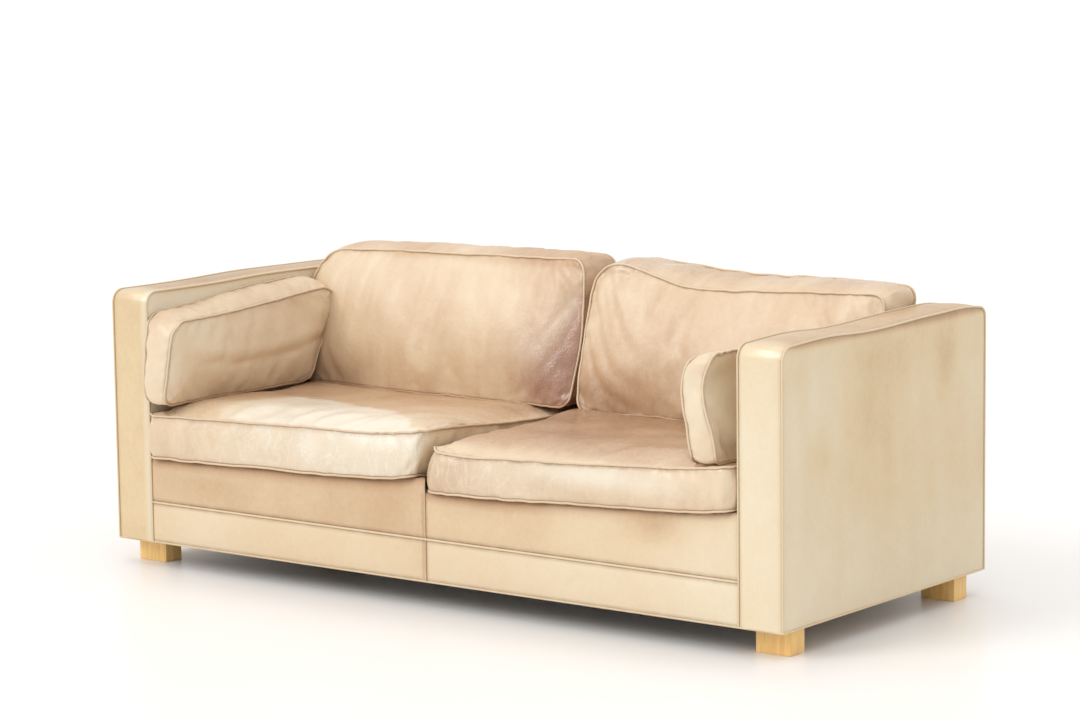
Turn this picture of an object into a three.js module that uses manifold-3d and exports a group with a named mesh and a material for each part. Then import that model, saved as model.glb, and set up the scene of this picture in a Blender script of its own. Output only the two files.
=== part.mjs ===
// A two-seat box sofa in worn natural leather, in millimetres, +Z up.
// The origin lies on the floor under the middle of the sofa's box. The front faces -Y and the length
// runs along X, so "left" and "right" are as someone standing in front of the sofa sees them.

import * as THREE from "three";
import { mergeVertices } from "three/addons/utils/BufferGeometryUtils.js";
import Module from "manifold-3d";

const wasm = await Module();
wasm.setup();

// ---------------------------------------------------------------- driving dimensions

const WIDTH = 1800; // over both arms
const DEPTH = 788; // from the noses of the seat cushions to the backs of the arms
const SEAT_NOSE = 18; // how far the seat cushions stand out in front of the arms
const GAP = 0.3; // air between two pieces that touch

const ARM_THICKNESS = 105;
const ARM_HEIGHT = 622;
const ARM_FRONT_RADIUS = 28;
const ARM_BACK_RADIUS = 14;
const BODY_BOTTOM = 55; // underside of the arms and of the front

const LEATHER = 2;
const FOAM = 11.4; // padding under the arm's strip and the front's cover
const PLYWOOD = 12;
const TIMBER = 30;

const RAIL_BOTTOM = 58;
const RAIL_TOP = 240;
const RAIL_THICKNESS = 25;
const FRONT_SEAM_HEIGHT = 147; // the level piped seam along the front

const BACK_HEIGHT = 600;
const BACK_THICKNESS = 88;
const BACK_SETBACK = 4; // how far the back's outside lies in front of the arms' backs
const BACK_POST = 45;
const BACK_TOP_RAIL_HEIGHT = 35;
const BACK_EDGE_RADIUS = 12;

const WEBBING_WIDTH = 70;
const WEBBING_THICKNESS = 2.5;
const WEBBING_SPACING = 245;
const CLOTH = 1.5;

const SEAT_RAIL_LEAD = 9; // how far the rear seat rail starts in front of the back
const MIDDLE_RAIL_DROP = 4; // the middle rail lies lower than the straps, which sag under a sitter

const SEAT_TOP = 364;
const SEAT_END_GAP = 3; // from a seat cushion's end to the arm
const SEAT_BACK_GAP = 2; // from a seat cushion to the back
const CUSHION_SPLIT = 2; // half of the gap between the two seats
const CUSHION_EDGE = 16; // rounding of the cushions' long edges
const CUSHION_END_EDGE = 10; // rounding of their ends
const CUSHION_REST = 2; // air under a cushion that stands on the seat

// A back cushion's corners seen from the side, from the middle of the sofa's depth.
const LEAN_BOTTOM = 89; // its face at the seat
const LEAN_TOP = 184; // its face at the top
const HEEL = 240; // its rear face at the seat
const HEAD = 312; // its rear face at the top
const HEAD_FALL = 4; // how much the top falls towards the rear
const BACK_CUSHION_END = 785; // from the middle of the sofa to a back cushion's far end
const BACK_CUSHION_TOP_LEFT = 684;
const BACK_CUSHION_TOP_RIGHT = 668;

const PILLOW_FRONT_TOP = 578;
const PILLOW_REAR_TOP = 602;
const PILLOW_REAR_INSET = 24; // its rear top corner lies this far in front of a back cushion's top
const PILLOW_LEFT_FRONT = -391;
const PILLOW_LEFT_THICKNESS = 84;
const PILLOW_LEFT_REAR_GAP = 6;
const PILLOW_RIGHT_FRONT = -383;
const PILLOW_RIGHT_THICKNESS = 76;
const PILLOW_RIGHT_REAR_GAP = 14;
const PILLOW_RIGHT_TURN = THREE.MathUtils.degToRad(-5);
const PILLOW_RIGHT_OFFSET = 4; // its rear outer corner stands this far in from the seat's end

const FOOT_LENGTH = 82;
const FOOT_DEPTH = 51;
const FOOT_SIDE_INSET = 14.5;
const FOOT_END_INSET = 47;
const FOOT_CHAMFER = 2;
const BOLT_RADIUS = 4;
const BOLT_LENGTH = 60;
const BOLT_IN_FOOT = 35;

// ---------------------------------------------------------------- worked out from them

const HALF = WIDTH / 2;
const SEAT_FRONT = -DEPTH / 2;
const ARM_FRONT = SEAT_FRONT + SEAT_NOSE;
const ARM_REAR = DEPTH / 2;
const INNER = HALF - ARM_THICKNESS; // from the middle to an arm's inner face
const RAIL_FRONT = ARM_FRONT + LEATHER + GAP + FOAM + GAP;
const RAIL_END = INNER - GAP;
const BACK_REAR = ARM_REAR - BACK_SETBACK;
const BACK_FRONT = BACK_REAR - BACK_THICKNESS;
const POST_REAR = BACK_REAR - LEATHER - GAP;
const POST_FRONT = POST_REAR - BACK_POST;
const WEBBING_BOTTOM = RAIL_TOP + GAP;
const DECK_BOTTOM = WEBBING_BOTTOM + WEBBING_THICKNESS + GAP;
const DECK_TOP = DECK_BOTTOM + CLOTH;

// ---------------------------------------------------------------- materials

const finish = (name, color, roughness, metalness = 0) =>
  new THREE.MeshStandardMaterial({ name, color, roughness, metalness });
const ARM_LEATHER = finish("cream arm leather", 0xe3d2b2, 0.5);
const FRONT_LEATHER = finish("tan front leather", 0xe2cba4, 0.5);
const BACK_LEATHER = finish("beige back leather", 0xdcc5a0, 0.55);
const SEAT_LEATHER = finish("tan seat leather", 0xd2ab80, 0.4);
const CUSHION_LEATHER = finish("beige cushion leather", 0xe2cca8, 0.5);
const PILLOW_LEATHER = finish("tan pillow leather", 0xd6b68c, 0.5);
const OAK = finish("oak", 0xd3a468, 0.45);
const BEECH = finish("beech", 0xc9a67a, 0.7);
const BOARD = finish("plywood", 0xc3a16e, 0.75);
const PADDING = finish("foam", 0xefe6c4, 0.95);
const STRAP = finish("webbing", 0x3b3a38, 0.9);
const LINING = finish("lining", 0x54504a, 0.95);
const STEEL = finish("steel", 0xb8bcc0, 0.35, 0.9);

// ---------------------------------------------------------------- shapes

const sofa = new THREE.Group();
sofa.name = "worn_leather_sofa";

// A straight board, strap or panel between two values on each axis.
function slab(name, material, [x0, x1], [y0, y1], [z0, z1]) {
  const mesh = new THREE.Mesh(new THREE.BoxGeometry(x1 - x0, y1 - y0, z1 - z0), material);
  mesh.name = name;
  mesh.position.set((x0 + x1) / 2, (y0 + y1) / 2, (z0 + z1) / 2);
  return mesh;
}

// A closed outline, anticlockwise through corners [depth, height, radius], each corner rounded by
// an arc of its radius.
function roundedOutline(corners) {
  const shape = new THREE.Shape();
  corners.forEach(([u, v, radius = 0], i) => {
    const corner = new THREE.Vector2(u, v);
    const [beforeU, beforeV] = corners.at(i - 1);
    const [afterU, afterV] = corners[(i + 1) % corners.length];
    const toBefore = new THREE.Vector2(beforeU, beforeV).sub(corner).normalize();
    const toAfter = new THREE.Vector2(afterU, afterV).sub(corner).normalize();
    const halfAngle = Math.acos(toBefore.dot(toAfter)) / 2;
    const centre = toBefore.clone().add(toAfter).setLength(radius / Math.sin(halfAngle)).add(corner);
    const start = toBefore.multiplyScalar(radius / Math.tan(halfAngle)).add(corner);
    const end = toAfter.multiplyScalar(radius / Math.tan(halfAngle)).add(corner);
    if (i === 0) shape.moveTo(start.x, start.y);
    else shape.lineTo(start.x, start.y);
    if (radius > 0) {
      shape.absarc(centre.x, centre.y, radius, start.sub(centre).angle(), end.sub(centre).angle(), false);
    }
  });
  return shape;
}

// Turns an outline drawn in depth and height, with its thickness along local Z, to lie along X.
const ALONG_X = new THREE.Matrix4().makeBasis(
  new THREE.Vector3(0, 1, 0),
  new THREE.Vector3(0, 0, 1),
  new THREE.Vector3(1, 0, 0),
);

// A side outline carried along X from x0 to x1. With an edge, both ends are rounded off by it.
function prism(name, material, corners, [x0, x1], edge = 0) {
  const geometry = new THREE.ExtrudeGeometry(roundedOutline(corners), {
    depth: x1 - x0 - 2 * edge,
    curveSegments: 4,
    steps: 1,
    bevelEnabled: edge > 0,
    bevelThickness: edge,
    bevelSize: edge,
    bevelOffset: -edge,
    bevelSegments: 3,
  });
  const mesh = new THREE.Mesh(geometry, material);
  mesh.name = name;
  mesh.quaternion.setFromRotationMatrix(ALONG_X);
  mesh.position.x = x0 + edge;
  return mesh;
}

// The mesh's geometry as a solid, in the mesh's own frame moved by the mesh's place.
function solidOf(mesh) {
  mesh.updateMatrix();
  const bare = mesh.geometry.index ? mesh.geometry.toNonIndexed() : mesh.geometry.clone();
  bare.deleteAttribute("normal");
  bare.deleteAttribute("uv");
  const merged = mergeVertices(bare.applyMatrix4(mesh.matrix), 1e-3);
  return new wasm.Manifold(
    new wasm.Mesh({
      numProp: 3,
      vertProperties: merged.attributes.position.array,
      triVerts: new Uint32Array(merged.index.array),
    }),
  );
}

// The first mesh with the others cut out of it, keeping its name and material.
function cut(mesh, ...tools) {
  const solid = tools.reduce((rest, tool) => rest.subtract(solidOf(tool)), solidOf(mesh));
  const { vertProperties, triVerts } = solid.getMesh();
  const geometry = new THREE.BufferGeometry();
  geometry.setAttribute("position", new THREE.BufferAttribute(vertProperties, 3));
  geometry.setIndex(new THREE.BufferAttribute(triVerts, 1));
  geometry.computeVertexNormals();
  const made = new THREE.Mesh(geometry, mesh.material);
  made.name = mesh.name;
  return made;
}

// An upright round bar.
function upright(name, material, radius, [x, y], [z0, z1]) {
  const mesh = new THREE.Mesh(new THREE.CylinderGeometry(radius, radius, z1 - z0, 16), material);
  mesh.name = name;
  mesh.rotation.x = Math.PI / 2;
  mesh.position.set(x, y, (z0 + z1) / 2);
  return mesh;
}

// ---------------------------------------------------------------- feet and their bolts

const FOOT_X = HALF - FOOT_SIDE_INSET - FOOT_LENGTH / 2;
const FOOT_FRONT_Y = ARM_FRONT + FOOT_END_INSET + FOOT_DEPTH / 2;
const FOOT_BACK_Y = ARM_REAR - FOOT_END_INSET - FOOT_DEPTH / 2;
const BOLT_BOTTOM = BODY_BOTTOM - BOLT_IN_FOOT;
const BOLT_TOP = BOLT_BOTTOM + BOLT_LENGTH;

const FEET = [
  ["front_left", -FOOT_X, FOOT_FRONT_Y],
  ["front_right", FOOT_X, FOOT_FRONT_Y],
  ["back_left", -FOOT_X, FOOT_BACK_Y],
  ["back_right", FOOT_X, FOOT_BACK_Y],
];

// The round space that a foot's bolt runs in, through the foot and the rail above it.
function boltHole(x, y) {
  return upright("hole", STEEL, BOLT_RADIUS + GAP, [x, y], [BOLT_BOTTOM - GAP, BOLT_TOP + GAP]);
}

// An oak block with its long edges and its foot eased by a small chamfer.
function foot(name, x, y) {
  const edge = FOOT_CHAMFER;
  const outline = new THREE.Shape();
  outline.moveTo(-FOOT_LENGTH / 2, -FOOT_DEPTH / 2);
  outline.lineTo(FOOT_LENGTH / 2, -FOOT_DEPTH / 2);
  outline.lineTo(FOOT_LENGTH / 2, FOOT_DEPTH / 2);
  outline.lineTo(-FOOT_LENGTH / 2, FOOT_DEPTH / 2);
  const geometry = new THREE.ExtrudeGeometry(outline, {
    depth: BODY_BOTTOM - 2 * edge,
    bevelThickness: edge,
    bevelSize: edge,
    bevelOffset: -edge,
    bevelSegments: 1,
  });
  const block = new THREE.Mesh(geometry, OAK);
  block.name = name;
  block.position.set(x, y, edge);
  return cut(block, boltHole(x, y));
}

const base = new THREE.Group();
for (const [corner, x, y] of FEET) {
  base.add(foot(`foot_${corner}`, x, y));
  base.add(upright(`foot_bolt_${corner}`, STEEL, BOLT_RADIUS, [x, y], [BOLT_BOTTOM, BOLT_TOP]));
}
sofa.add(base);

// ---------------------------------------------------------------- arms

// The side outline of an arm, drawn in by an inset all round and down to a bottom.
function armOutline(inset, bottom) {
  return [
    [ARM_FRONT + inset, bottom],
    [ARM_FRONT + inset, ARM_HEIGHT - inset, ARM_FRONT_RADIUS - inset],
    [ARM_REAR - inset, ARM_HEIGHT - inset, ARM_BACK_RADIUS - inset],
    [ARM_REAR - inset, bottom],
  ].reverse();
}

// One arm: a timber frame between two plywood sides, padding on its front and top,
// a leather panel on each side and one long leather strip up the front, over the top and down the back.
function arm(side, sign) {
  const group = new THREE.Group();
  const span = (fromOuter, toOuter) =>
    [sign * (HALF - fromOuter), sign * (HALF - toOuter)].sort((a, b) => a - b);
  const name = (piece) => `arm_${side}_${piece}`;

  const skin = LEATHER + GAP;
  const boardInner = skin + PLYWOOD;
  const timberSpan = span(boardInner + GAP, ARM_THICKNESS - boardInner - GAP);
  const edgeSpan = span(skin, ARM_THICKNESS - skin);
  const frameFront = RAIL_FRONT;
  const frameRear = ARM_REAR - skin;
  const frameBottom = BODY_BOTTOM + GAP;
  const frameTop = ARM_HEIGHT - skin - FOAM - GAP;
  const postSpan = [frameBottom + TIMBER + GAP, frameTop - TIMBER - GAP];

  const frame = new THREE.Group();
  const bottomRail = slab(
    name("bottom_rail"), BEECH, timberSpan, [frameFront, frameRear], [frameBottom, frameBottom + TIMBER],
  );
  const holes = FEET.filter(([, x]) => Math.sign(x) === sign).map(([, x, y]) => boltHole(x, y));
  frame.add(cut(bottomRail, ...holes));
  frame.add(slab(
    name("top_rail"), BEECH, timberSpan, [frameFront, frameRear], [frameTop - TIMBER, frameTop],
  ));
  frame.add(slab(name("front_post"), BEECH, timberSpan, [frameFront, frameFront + TIMBER], postSpan));
  frame.add(slab(name("back_post"), BEECH, timberSpan, [frameRear - TIMBER, frameRear], postSpan));
  group.add(frame);

  const boardDepth = [frameFront, frameRear];
  const boardHeight = [frameBottom, frameTop];
  const outerBoardSpan = span(skin, boardInner);
  const innerBoardSpan = span(ARM_THICKNESS - boardInner, ARM_THICKNESS - skin);
  group.add(slab(name("outer_board"), BOARD, outerBoardSpan, boardDepth, boardHeight));
  group.add(slab(name("inner_board"), BOARD, innerBoardSpan, boardDepth, boardHeight));

  const foamRadius = FOAM - 0.4;
  const foamFront = ARM_FRONT + skin;
  const frontFoamTop = frameTop - 5; // stays inside the turn of the strip at the front corner
  group.add(prism(name("front_foam"), PADDING, [
    [foamFront + FOAM, frameBottom],
    [foamFront + FOAM, frontFoamTop],
    [foamFront, frontFoamTop, foamRadius],
    [foamFront, frameBottom],
  ], edgeSpan));
  const topFoamStart = frameFront + ARM_FRONT_RADIUS / 8; // behind the turn of the front corner
  group.add(prism(name("top_foam"), PADDING, [
    [topFoamStart, frameTop + GAP],
    [frameRear, frameTop + GAP],
    [frameRear, ARM_HEIGHT - skin, foamRadius],
    [topFoamStart, ARM_HEIGHT - skin, foamRadius],
  ], edgeSpan));

  const strip = prism(name("strip_leather"), ARM_LEATHER, armOutline(0, BODY_BOTTOM), edgeSpan);
  const stripInside = prism("inside", ARM_LEATHER, armOutline(LEATHER, 0), span(0, ARM_THICKNESS));
  group.add(cut(strip, stripInside));
  const panel = armOutline(0, BODY_BOTTOM);
  group.add(prism(name("outer_leather"), ARM_LEATHER, panel, span(0, LEATHER)));
  const innerSpan = span(ARM_THICKNESS - LEATHER, ARM_THICKNESS);
  group.add(prism(name("inner_leather"), ARM_LEATHER, panel, innerSpan));
  return group;
}

sofa.add(arm("left", -1));
sofa.add(arm("right", 1));

// ---------------------------------------------------------------- seat frame, webbing and cloths

const seatFrame = new THREE.Group();
const SEAT_RAIL_FRONT = BACK_FRONT - SEAT_RAIL_LEAD;
const FULL = [-RAIL_END, RAIL_END];
const RAIL_Z = [RAIL_BOTTOM, RAIL_TOP];
seatFrame.add(slab("seat_front_rail", BEECH, FULL, [RAIL_FRONT, RAIL_FRONT + RAIL_THICKNESS], RAIL_Z));
const REAR_RAIL_Y = [SEAT_RAIL_FRONT, SEAT_RAIL_FRONT + RAIL_THICKNESS];
seatFrame.add(slab("seat_back_rail", BEECH, FULL, REAR_RAIL_Y, RAIL_Z));
seatFrame.add(slab(
  "seat_middle_rail",
  BEECH,
  [-RAIL_THICKNESS / 2, RAIL_THICKNESS / 2],
  [RAIL_FRONT + RAIL_THICKNESS + GAP, SEAT_RAIL_FRONT - GAP],
  [RAIL_BOTTOM, RAIL_TOP - MIDDLE_RAIL_DROP],
));

const STRAPS_EACH_SIDE = 3;
const STRAP_Y = [RAIL_FRONT, SEAT_RAIL_FRONT + RAIL_THICKNESS];
for (let i = 0; i < 2 * STRAPS_EACH_SIDE; i++) {
  const x = (i - (2 * STRAPS_EACH_SIDE - 1) / 2) * WEBBING_SPACING;
  seatFrame.add(slab(
    `seat_webbing_${i + 1}`,
    STRAP,
    [x - WEBBING_WIDTH / 2, x + WEBBING_WIDTH / 2],
    STRAP_Y,
    [WEBBING_BOTTOM, WEBBING_BOTTOM + WEBBING_THICKNESS],
  ));
}
const FRONT_PAD_Y = [ARM_FRONT + LEATHER + GAP, ARM_FRONT + LEATHER + GAP + FOAM];
const DECK_Y = [FRONT_PAD_Y[0], BACK_FRONT - GAP];
seatFrame.add(slab("seat_deck_cloth", LINING, FULL, DECK_Y, [DECK_BOTTOM, DECK_TOP]));
const DUST_COVER_Z = [RAIL_BOTTOM - GAP - CLOTH, RAIL_BOTTOM - GAP];
seatFrame.add(slab("dust_cover", LINING, FULL, [FRONT_PAD_Y[0], POST_REAR], DUST_COVER_Z));
sofa.add(seatFrame);

// ---------------------------------------------------------------- padded leather front

// Leather panels come in a left and a right half, sewn together on the middle line.
const HALVES = [
  ["left", [-RAIL_END, -GAP / 2]],
  ["right", [GAP / 2, RAIL_END]],
];

// Two leather panels above the level seam and two below it.
const front = new THREE.Group();
front.add(slab("front_foam", PADDING, FULL, FRONT_PAD_Y, [RAIL_BOTTOM, RAIL_TOP]));
const FRONT_LEATHER_Y = [ARM_FRONT, ARM_FRONT + LEATHER];
const FRONT_BANDS = [
  ["upper", [FRONT_SEAM_HEIGHT + GAP / 2, DECK_TOP]],
  ["lower", [BODY_BOTTOM, FRONT_SEAM_HEIGHT - GAP / 2]],
];
for (const [band, height] of FRONT_BANDS) {
  for (const [side, length] of HALVES) {
    front.add(slab(`front_${band}_leather_${side}`, FRONT_LEATHER, length, FRONT_LEATHER_Y, height));
  }
}
sofa.add(front);

// ---------------------------------------------------------------- back

const back = new THREE.Group();
const POST_Y = [POST_FRONT, POST_REAR];
const BACK_TIMBER_TOP = BACK_HEIGHT - LEATHER - GAP;
const TOP_RAIL_Z = [BACK_TIMBER_TOP - BACK_TOP_RAIL_HEIGHT, BACK_TIMBER_TOP];
const POST_Z = [RAIL_BOTTOM, TOP_RAIL_Z[0] - GAP];
back.add(slab("back_top_rail", BEECH, FULL, POST_Y, TOP_RAIL_Z));
const POSTS = [["left", -RAIL_END + BACK_POST / 2], ["middle", 0], ["right", RAIL_END - BACK_POST / 2]];
for (const [place, x] of POSTS) {
  back.add(slab(`back_post_${place}`, BEECH, [x - BACK_POST / 2, x + BACK_POST / 2], POST_Y, POST_Z));
}
back.add(prism("back_foam", PADDING, [
  [BACK_FRONT + LEATHER + GAP, DECK_TOP + GAP],
  [POST_FRONT - GAP, DECK_TOP + GAP],
  [POST_FRONT - GAP, BACK_TIMBER_TOP],
  [BACK_FRONT + LEATHER + GAP, BACK_TIMBER_TOP, BACK_EDGE_RADIUS],
], FULL));

// The inside leather goes up the padding and over the top rail as one piece.
function backSideOutline(inset, bottom, rear) {
  return [
    [BACK_FRONT + inset, bottom],
    [rear, bottom],
    [rear, BACK_HEIGHT - inset],
    [BACK_FRONT + inset, BACK_HEIGHT - inset, BACK_EDGE_RADIUS - inset],
  ];
}
const OVER_TOP = [DECK_TOP + GAP, POST_REAR];
back.add(cut(
  prism("back_inner_leather", BACK_LEATHER, backSideOutline(0, ...OVER_TOP), FULL),
  prism("inside", BACK_LEATHER, backSideOutline(LEATHER, 0, ARM_REAR), [-INNER, INNER]),
));
const OUTER_BACK_Y = [BACK_REAR - LEATHER, BACK_REAR];
const OUTER_BACK_Z = [BODY_BOTTOM, BACK_HEIGHT];
for (const [side, length] of HALVES) {
  back.add(slab(`back_outer_leather_${side}`, BACK_LEATHER, length, OUTER_BACK_Y, OUTER_BACK_Z));
}
sofa.add(back);

// ---------------------------------------------------------------- loose cushions

const cushions = new THREE.Group();

// A seat cushion is a soft block from the nose to the back, lying on the deck.
const SEAT_OUTLINE = [
  [SEAT_FRONT, DECK_TOP + GAP, CUSHION_EDGE],
  [BACK_FRONT - SEAT_BACK_GAP, DECK_TOP + GAP, CUSHION_EDGE],
  [BACK_FRONT - SEAT_BACK_GAP, SEAT_TOP, CUSHION_EDGE],
  [SEAT_FRONT, SEAT_TOP, CUSHION_EDGE],
];
const SEAT_END = INNER - SEAT_END_GAP;

// A back cushion stands on the seat and leans back on the padded back.
function backCushionOutline(top) {
  return [
    [LEAN_BOTTOM, SEAT_TOP + CUSHION_REST, CUSHION_EDGE],
    [HEEL, SEAT_TOP + CUSHION_REST, CUSHION_EDGE],
    [HEAD, top - HEAD_FALL, CUSHION_EDGE],
    [LEAN_TOP, top, CUSHION_EDGE],
  ];
}

// An arm pillow stands on the seat beside an arm, and its rear end leans with the back cushion.
function pillowOutline(frontY, rearGap) {
  return [
    [frontY, SEAT_TOP + CUSHION_REST, CUSHION_EDGE],
    [LEAN_BOTTOM - rearGap, SEAT_TOP + CUSHION_REST, CUSHION_EDGE],
    [LEAN_TOP - PILLOW_REAR_INSET - rearGap, PILLOW_REAR_TOP, CUSHION_EDGE],
    [frontY, PILLOW_FRONT_TOP, 2 * CUSHION_EDGE],
  ];
}

const PILLOW_LEFT_X = [-SEAT_END, -SEAT_END + PILLOW_LEFT_THICKNESS];
const LOOSE_CUSHIONS = [
  ["seat_cushion_left", SEAT_LEATHER, SEAT_OUTLINE, [-SEAT_END, -CUSHION_SPLIT]],
  ["seat_cushion_right", SEAT_LEATHER, SEAT_OUTLINE, [CUSHION_SPLIT, SEAT_END]],
  [
    "back_cushion_left", CUSHION_LEATHER, backCushionOutline(BACK_CUSHION_TOP_LEFT),
    [-BACK_CUSHION_END, -CUSHION_SPLIT],
  ],
  [
    "back_cushion_right", CUSHION_LEATHER, backCushionOutline(BACK_CUSHION_TOP_RIGHT),
    [CUSHION_SPLIT, BACK_CUSHION_END],
  ],
  [
    "arm_pillow_left", PILLOW_LEATHER, pillowOutline(PILLOW_LEFT_FRONT, PILLOW_LEFT_REAR_GAP),
    PILLOW_LEFT_X,
  ],
];
for (const [name, material, outline, ends] of LOOSE_CUSHIONS) {
  cushions.add(prism(name, material, outline, ends, CUSHION_END_EDGE));
}

// The right pillow has slid off its arm at the front, so it stands turned about its rear outer corner.
const turned = new THREE.Group();
turned.position.set(SEAT_END - PILLOW_RIGHT_OFFSET, LEAN_BOTTOM, 0);
turned.rotation.z = PILLOW_RIGHT_TURN;
const slidPillow = prism(
  "arm_pillow_right", PILLOW_LEATHER, pillowOutline(PILLOW_RIGHT_FRONT, PILLOW_RIGHT_REAR_GAP),
  [-PILLOW_RIGHT_THICKNESS, 0], CUSHION_END_EDGE,
);
slidPillow.position.y = -LEAN_BOTTOM;
turned.add(slidPillow);
cushions.add(turned);
sofa.add(cushions);

export default sofa;
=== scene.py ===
# %% [markdown]
# # A worn leather sofa
#
# This file dresses a two-seat sofa. Its frame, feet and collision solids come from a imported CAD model,
# which stays as it is. Here every visible surface gets its real form: the padded arms, the sewn front,
# the loose cushions with their piping and folds, the oak feet, and the stains that years have left.
#
# Lengths are in metres. X runs along the sofa, the front faces -Y, and Z is up.

# %% Load the frame
import bpy
import numpy as np
from mathutils import Matrix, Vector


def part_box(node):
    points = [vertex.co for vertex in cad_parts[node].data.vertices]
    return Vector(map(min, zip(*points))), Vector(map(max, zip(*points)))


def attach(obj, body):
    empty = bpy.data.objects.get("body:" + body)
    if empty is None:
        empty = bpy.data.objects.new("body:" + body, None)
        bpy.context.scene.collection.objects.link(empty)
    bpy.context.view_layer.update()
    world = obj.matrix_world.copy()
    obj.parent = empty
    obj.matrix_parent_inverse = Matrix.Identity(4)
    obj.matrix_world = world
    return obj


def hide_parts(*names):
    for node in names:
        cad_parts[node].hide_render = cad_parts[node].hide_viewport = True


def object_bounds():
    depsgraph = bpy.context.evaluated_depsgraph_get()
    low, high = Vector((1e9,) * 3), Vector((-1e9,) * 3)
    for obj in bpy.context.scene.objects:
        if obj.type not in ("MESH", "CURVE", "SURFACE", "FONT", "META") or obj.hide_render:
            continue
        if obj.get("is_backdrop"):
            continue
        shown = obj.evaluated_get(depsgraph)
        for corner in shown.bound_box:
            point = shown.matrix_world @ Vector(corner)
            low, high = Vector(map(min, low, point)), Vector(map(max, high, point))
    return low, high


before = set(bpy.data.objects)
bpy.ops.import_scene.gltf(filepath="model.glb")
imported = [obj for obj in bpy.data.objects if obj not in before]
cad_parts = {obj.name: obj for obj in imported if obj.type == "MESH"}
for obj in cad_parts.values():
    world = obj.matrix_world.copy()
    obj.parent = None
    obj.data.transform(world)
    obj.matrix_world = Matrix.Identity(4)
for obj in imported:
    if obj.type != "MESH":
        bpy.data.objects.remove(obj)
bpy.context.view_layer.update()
scene = bpy.context.scene
MM = 0.001

# %% [markdown]
# ## The camera
#
# The view is through a long lens, 1.5 m above the floor and turned about 38 degrees towards the right arm.
# A camera looks along its own -Z, so its rotation is built from three directions: right, up and back.

# %% Camera
CAMERA_PLACE = (4.4524, -5.7351, 1.4919)
CAMERA_TURN, CAMERA_TILT, CAMERA_ROLL = np.radians([37.70, 7.91, -0.75])
LENS_MM = 112.2

forward = np.array([
    -np.sin(CAMERA_TURN) * np.cos(CAMERA_TILT),
    np.cos(CAMERA_TURN) * np.cos(CAMERA_TILT),
    -np.sin(CAMERA_TILT),
])
level = np.array([np.cos(CAMERA_TURN), np.sin(CAMERA_TURN), 0.0])
upward = np.cross(level, forward)
right = np.cos(CAMERA_ROLL) * level + np.sin(CAMERA_ROLL) * upward
up = np.cos(CAMERA_ROLL) * upward - np.sin(CAMERA_ROLL) * level

camera = bpy.data.objects.new("camera", bpy.data.cameras.new("camera"))
scene.collection.objects.link(camera)
camera.data.sensor_width = 36
camera.data.lens = LENS_MM
camera.matrix_world = Matrix([[*row, place] for row, place in zip(
    np.stack([right, up, -forward], axis=1), CAMERA_PLACE)] + [[0, 0, 0, 1]])
scene.camera = camera
print("camera looks along", np.round(forward, 3), "with a lens of", LENS_MM, "mm")

# %% [markdown]
# ## One grid for every soft form
#
# An upholstered piece is a box at heart: six panels that meet in seams. A cube with many loops would do,
# and so would sculpting. Here the skin of a block of grid points is used instead, because each point
# then knows its place (u, v, w) on the block, from -1 to 1. A shape is a formula of these three numbers,
# a seam is wherever two of them reach 1, and whole panels are shaped by one line of numpy.

# %% Grid helpers
def spaced(length, step, finer=0.5):
    """Grid values from -1 to 1 along a length, about a step apart and finer near both ends.
    An even spacing t is bent to t + finer * sin(pi t) / pi."""
    t = np.linspace(-1, 1, max(2, round(length / step)) + 1)
    return t + finer * np.sin(np.pi * t) / np.pi


def block_skin(us, vs, ws, left_open=()):
    """The skin of a block of grid points: an (n, 3) array of grid values and the (m, 4) corners of its
    faces, which face out. left_open lists (axis, end) pairs of sides that are left out, end 0 or -1."""
    number = np.full((len(us), len(vs), len(ws)), -1)
    on_skin = np.zeros(number.shape, bool)
    sides = [(axis, end) for axis in range(3) for end in (0, -1) if (axis, end) not in left_open]
    for axis, end in sides:
        np.moveaxis(on_skin, axis, 0)[end] = True
    number[on_skin] = np.arange(on_skin.sum())
    grid = np.stack(np.meshgrid(us, vs, ws, indexing="ij"), axis=-1)[on_skin]
    faces = []
    for axis, end in sides:
        side = np.take(number, end, axis=axis)
        quads = np.stack([side[:-1, :-1], side[1:, :-1], side[1:, 1:], side[:-1, 1:]], axis=-1)
        quads = quads.reshape(-1, 4)
        faces.append(quads if (end == -1) != (axis == 1) else quads[:, ::-1])
    return grid, np.concatenate(faces)


def rounded(p, q, half_p, half_q, radius):
    """Bends the corners of a rectangle round. Past the centre of a corner's arc, a point keeps the larger
    of its two distances from that centre as its true distance, in the same direction."""
    over_p, over_q = np.abs(p) - (half_p - radius), np.abs(q) - (half_q - radius)
    in_corner = (over_p > 0) & (over_q > 0)
    scale = np.maximum(over_p, over_q) / np.maximum(np.hypot(over_p, over_q), 1e-9)
    return (
        np.where(in_corner, np.sign(p) * (half_p - radius + over_p * scale), p),
        np.where(in_corner, np.sign(q) * (half_q - radius + over_q * scale), q),
    )


def through(*points):
    """A smooth function through (place, value) points: each stretch is a cubic whose end slopes are those
    of the neighbouring points, and it stays level outside them."""
    x, y = np.array(points, float).T
    slope = np.gradient(y, x)

    def curve(t):
        t = np.clip(t, x[0], x[-1])
        i = np.clip(np.searchsorted(x, t) - 1, 0, len(x) - 2)
        h = x[i + 1] - x[i]
        s = (t - x[i]) / h
        return (
            y[i] * (1 + 2 * s) * (1 - s) ** 2 + slope[i] * h * s * (1 - s) ** 2
            + y[i + 1] * s * s * (3 - 2 * s) + slope[i + 1] * h * s * s * (s - 1)
        )

    return curve


def ramp(value, start, end):
    """0 below start, 1 above end and a smooth step between, also where end is the lower one."""
    t = np.clip((value - start) / (end - start), 0, 1)
    return t * t * (3 - 2 * t)


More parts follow.
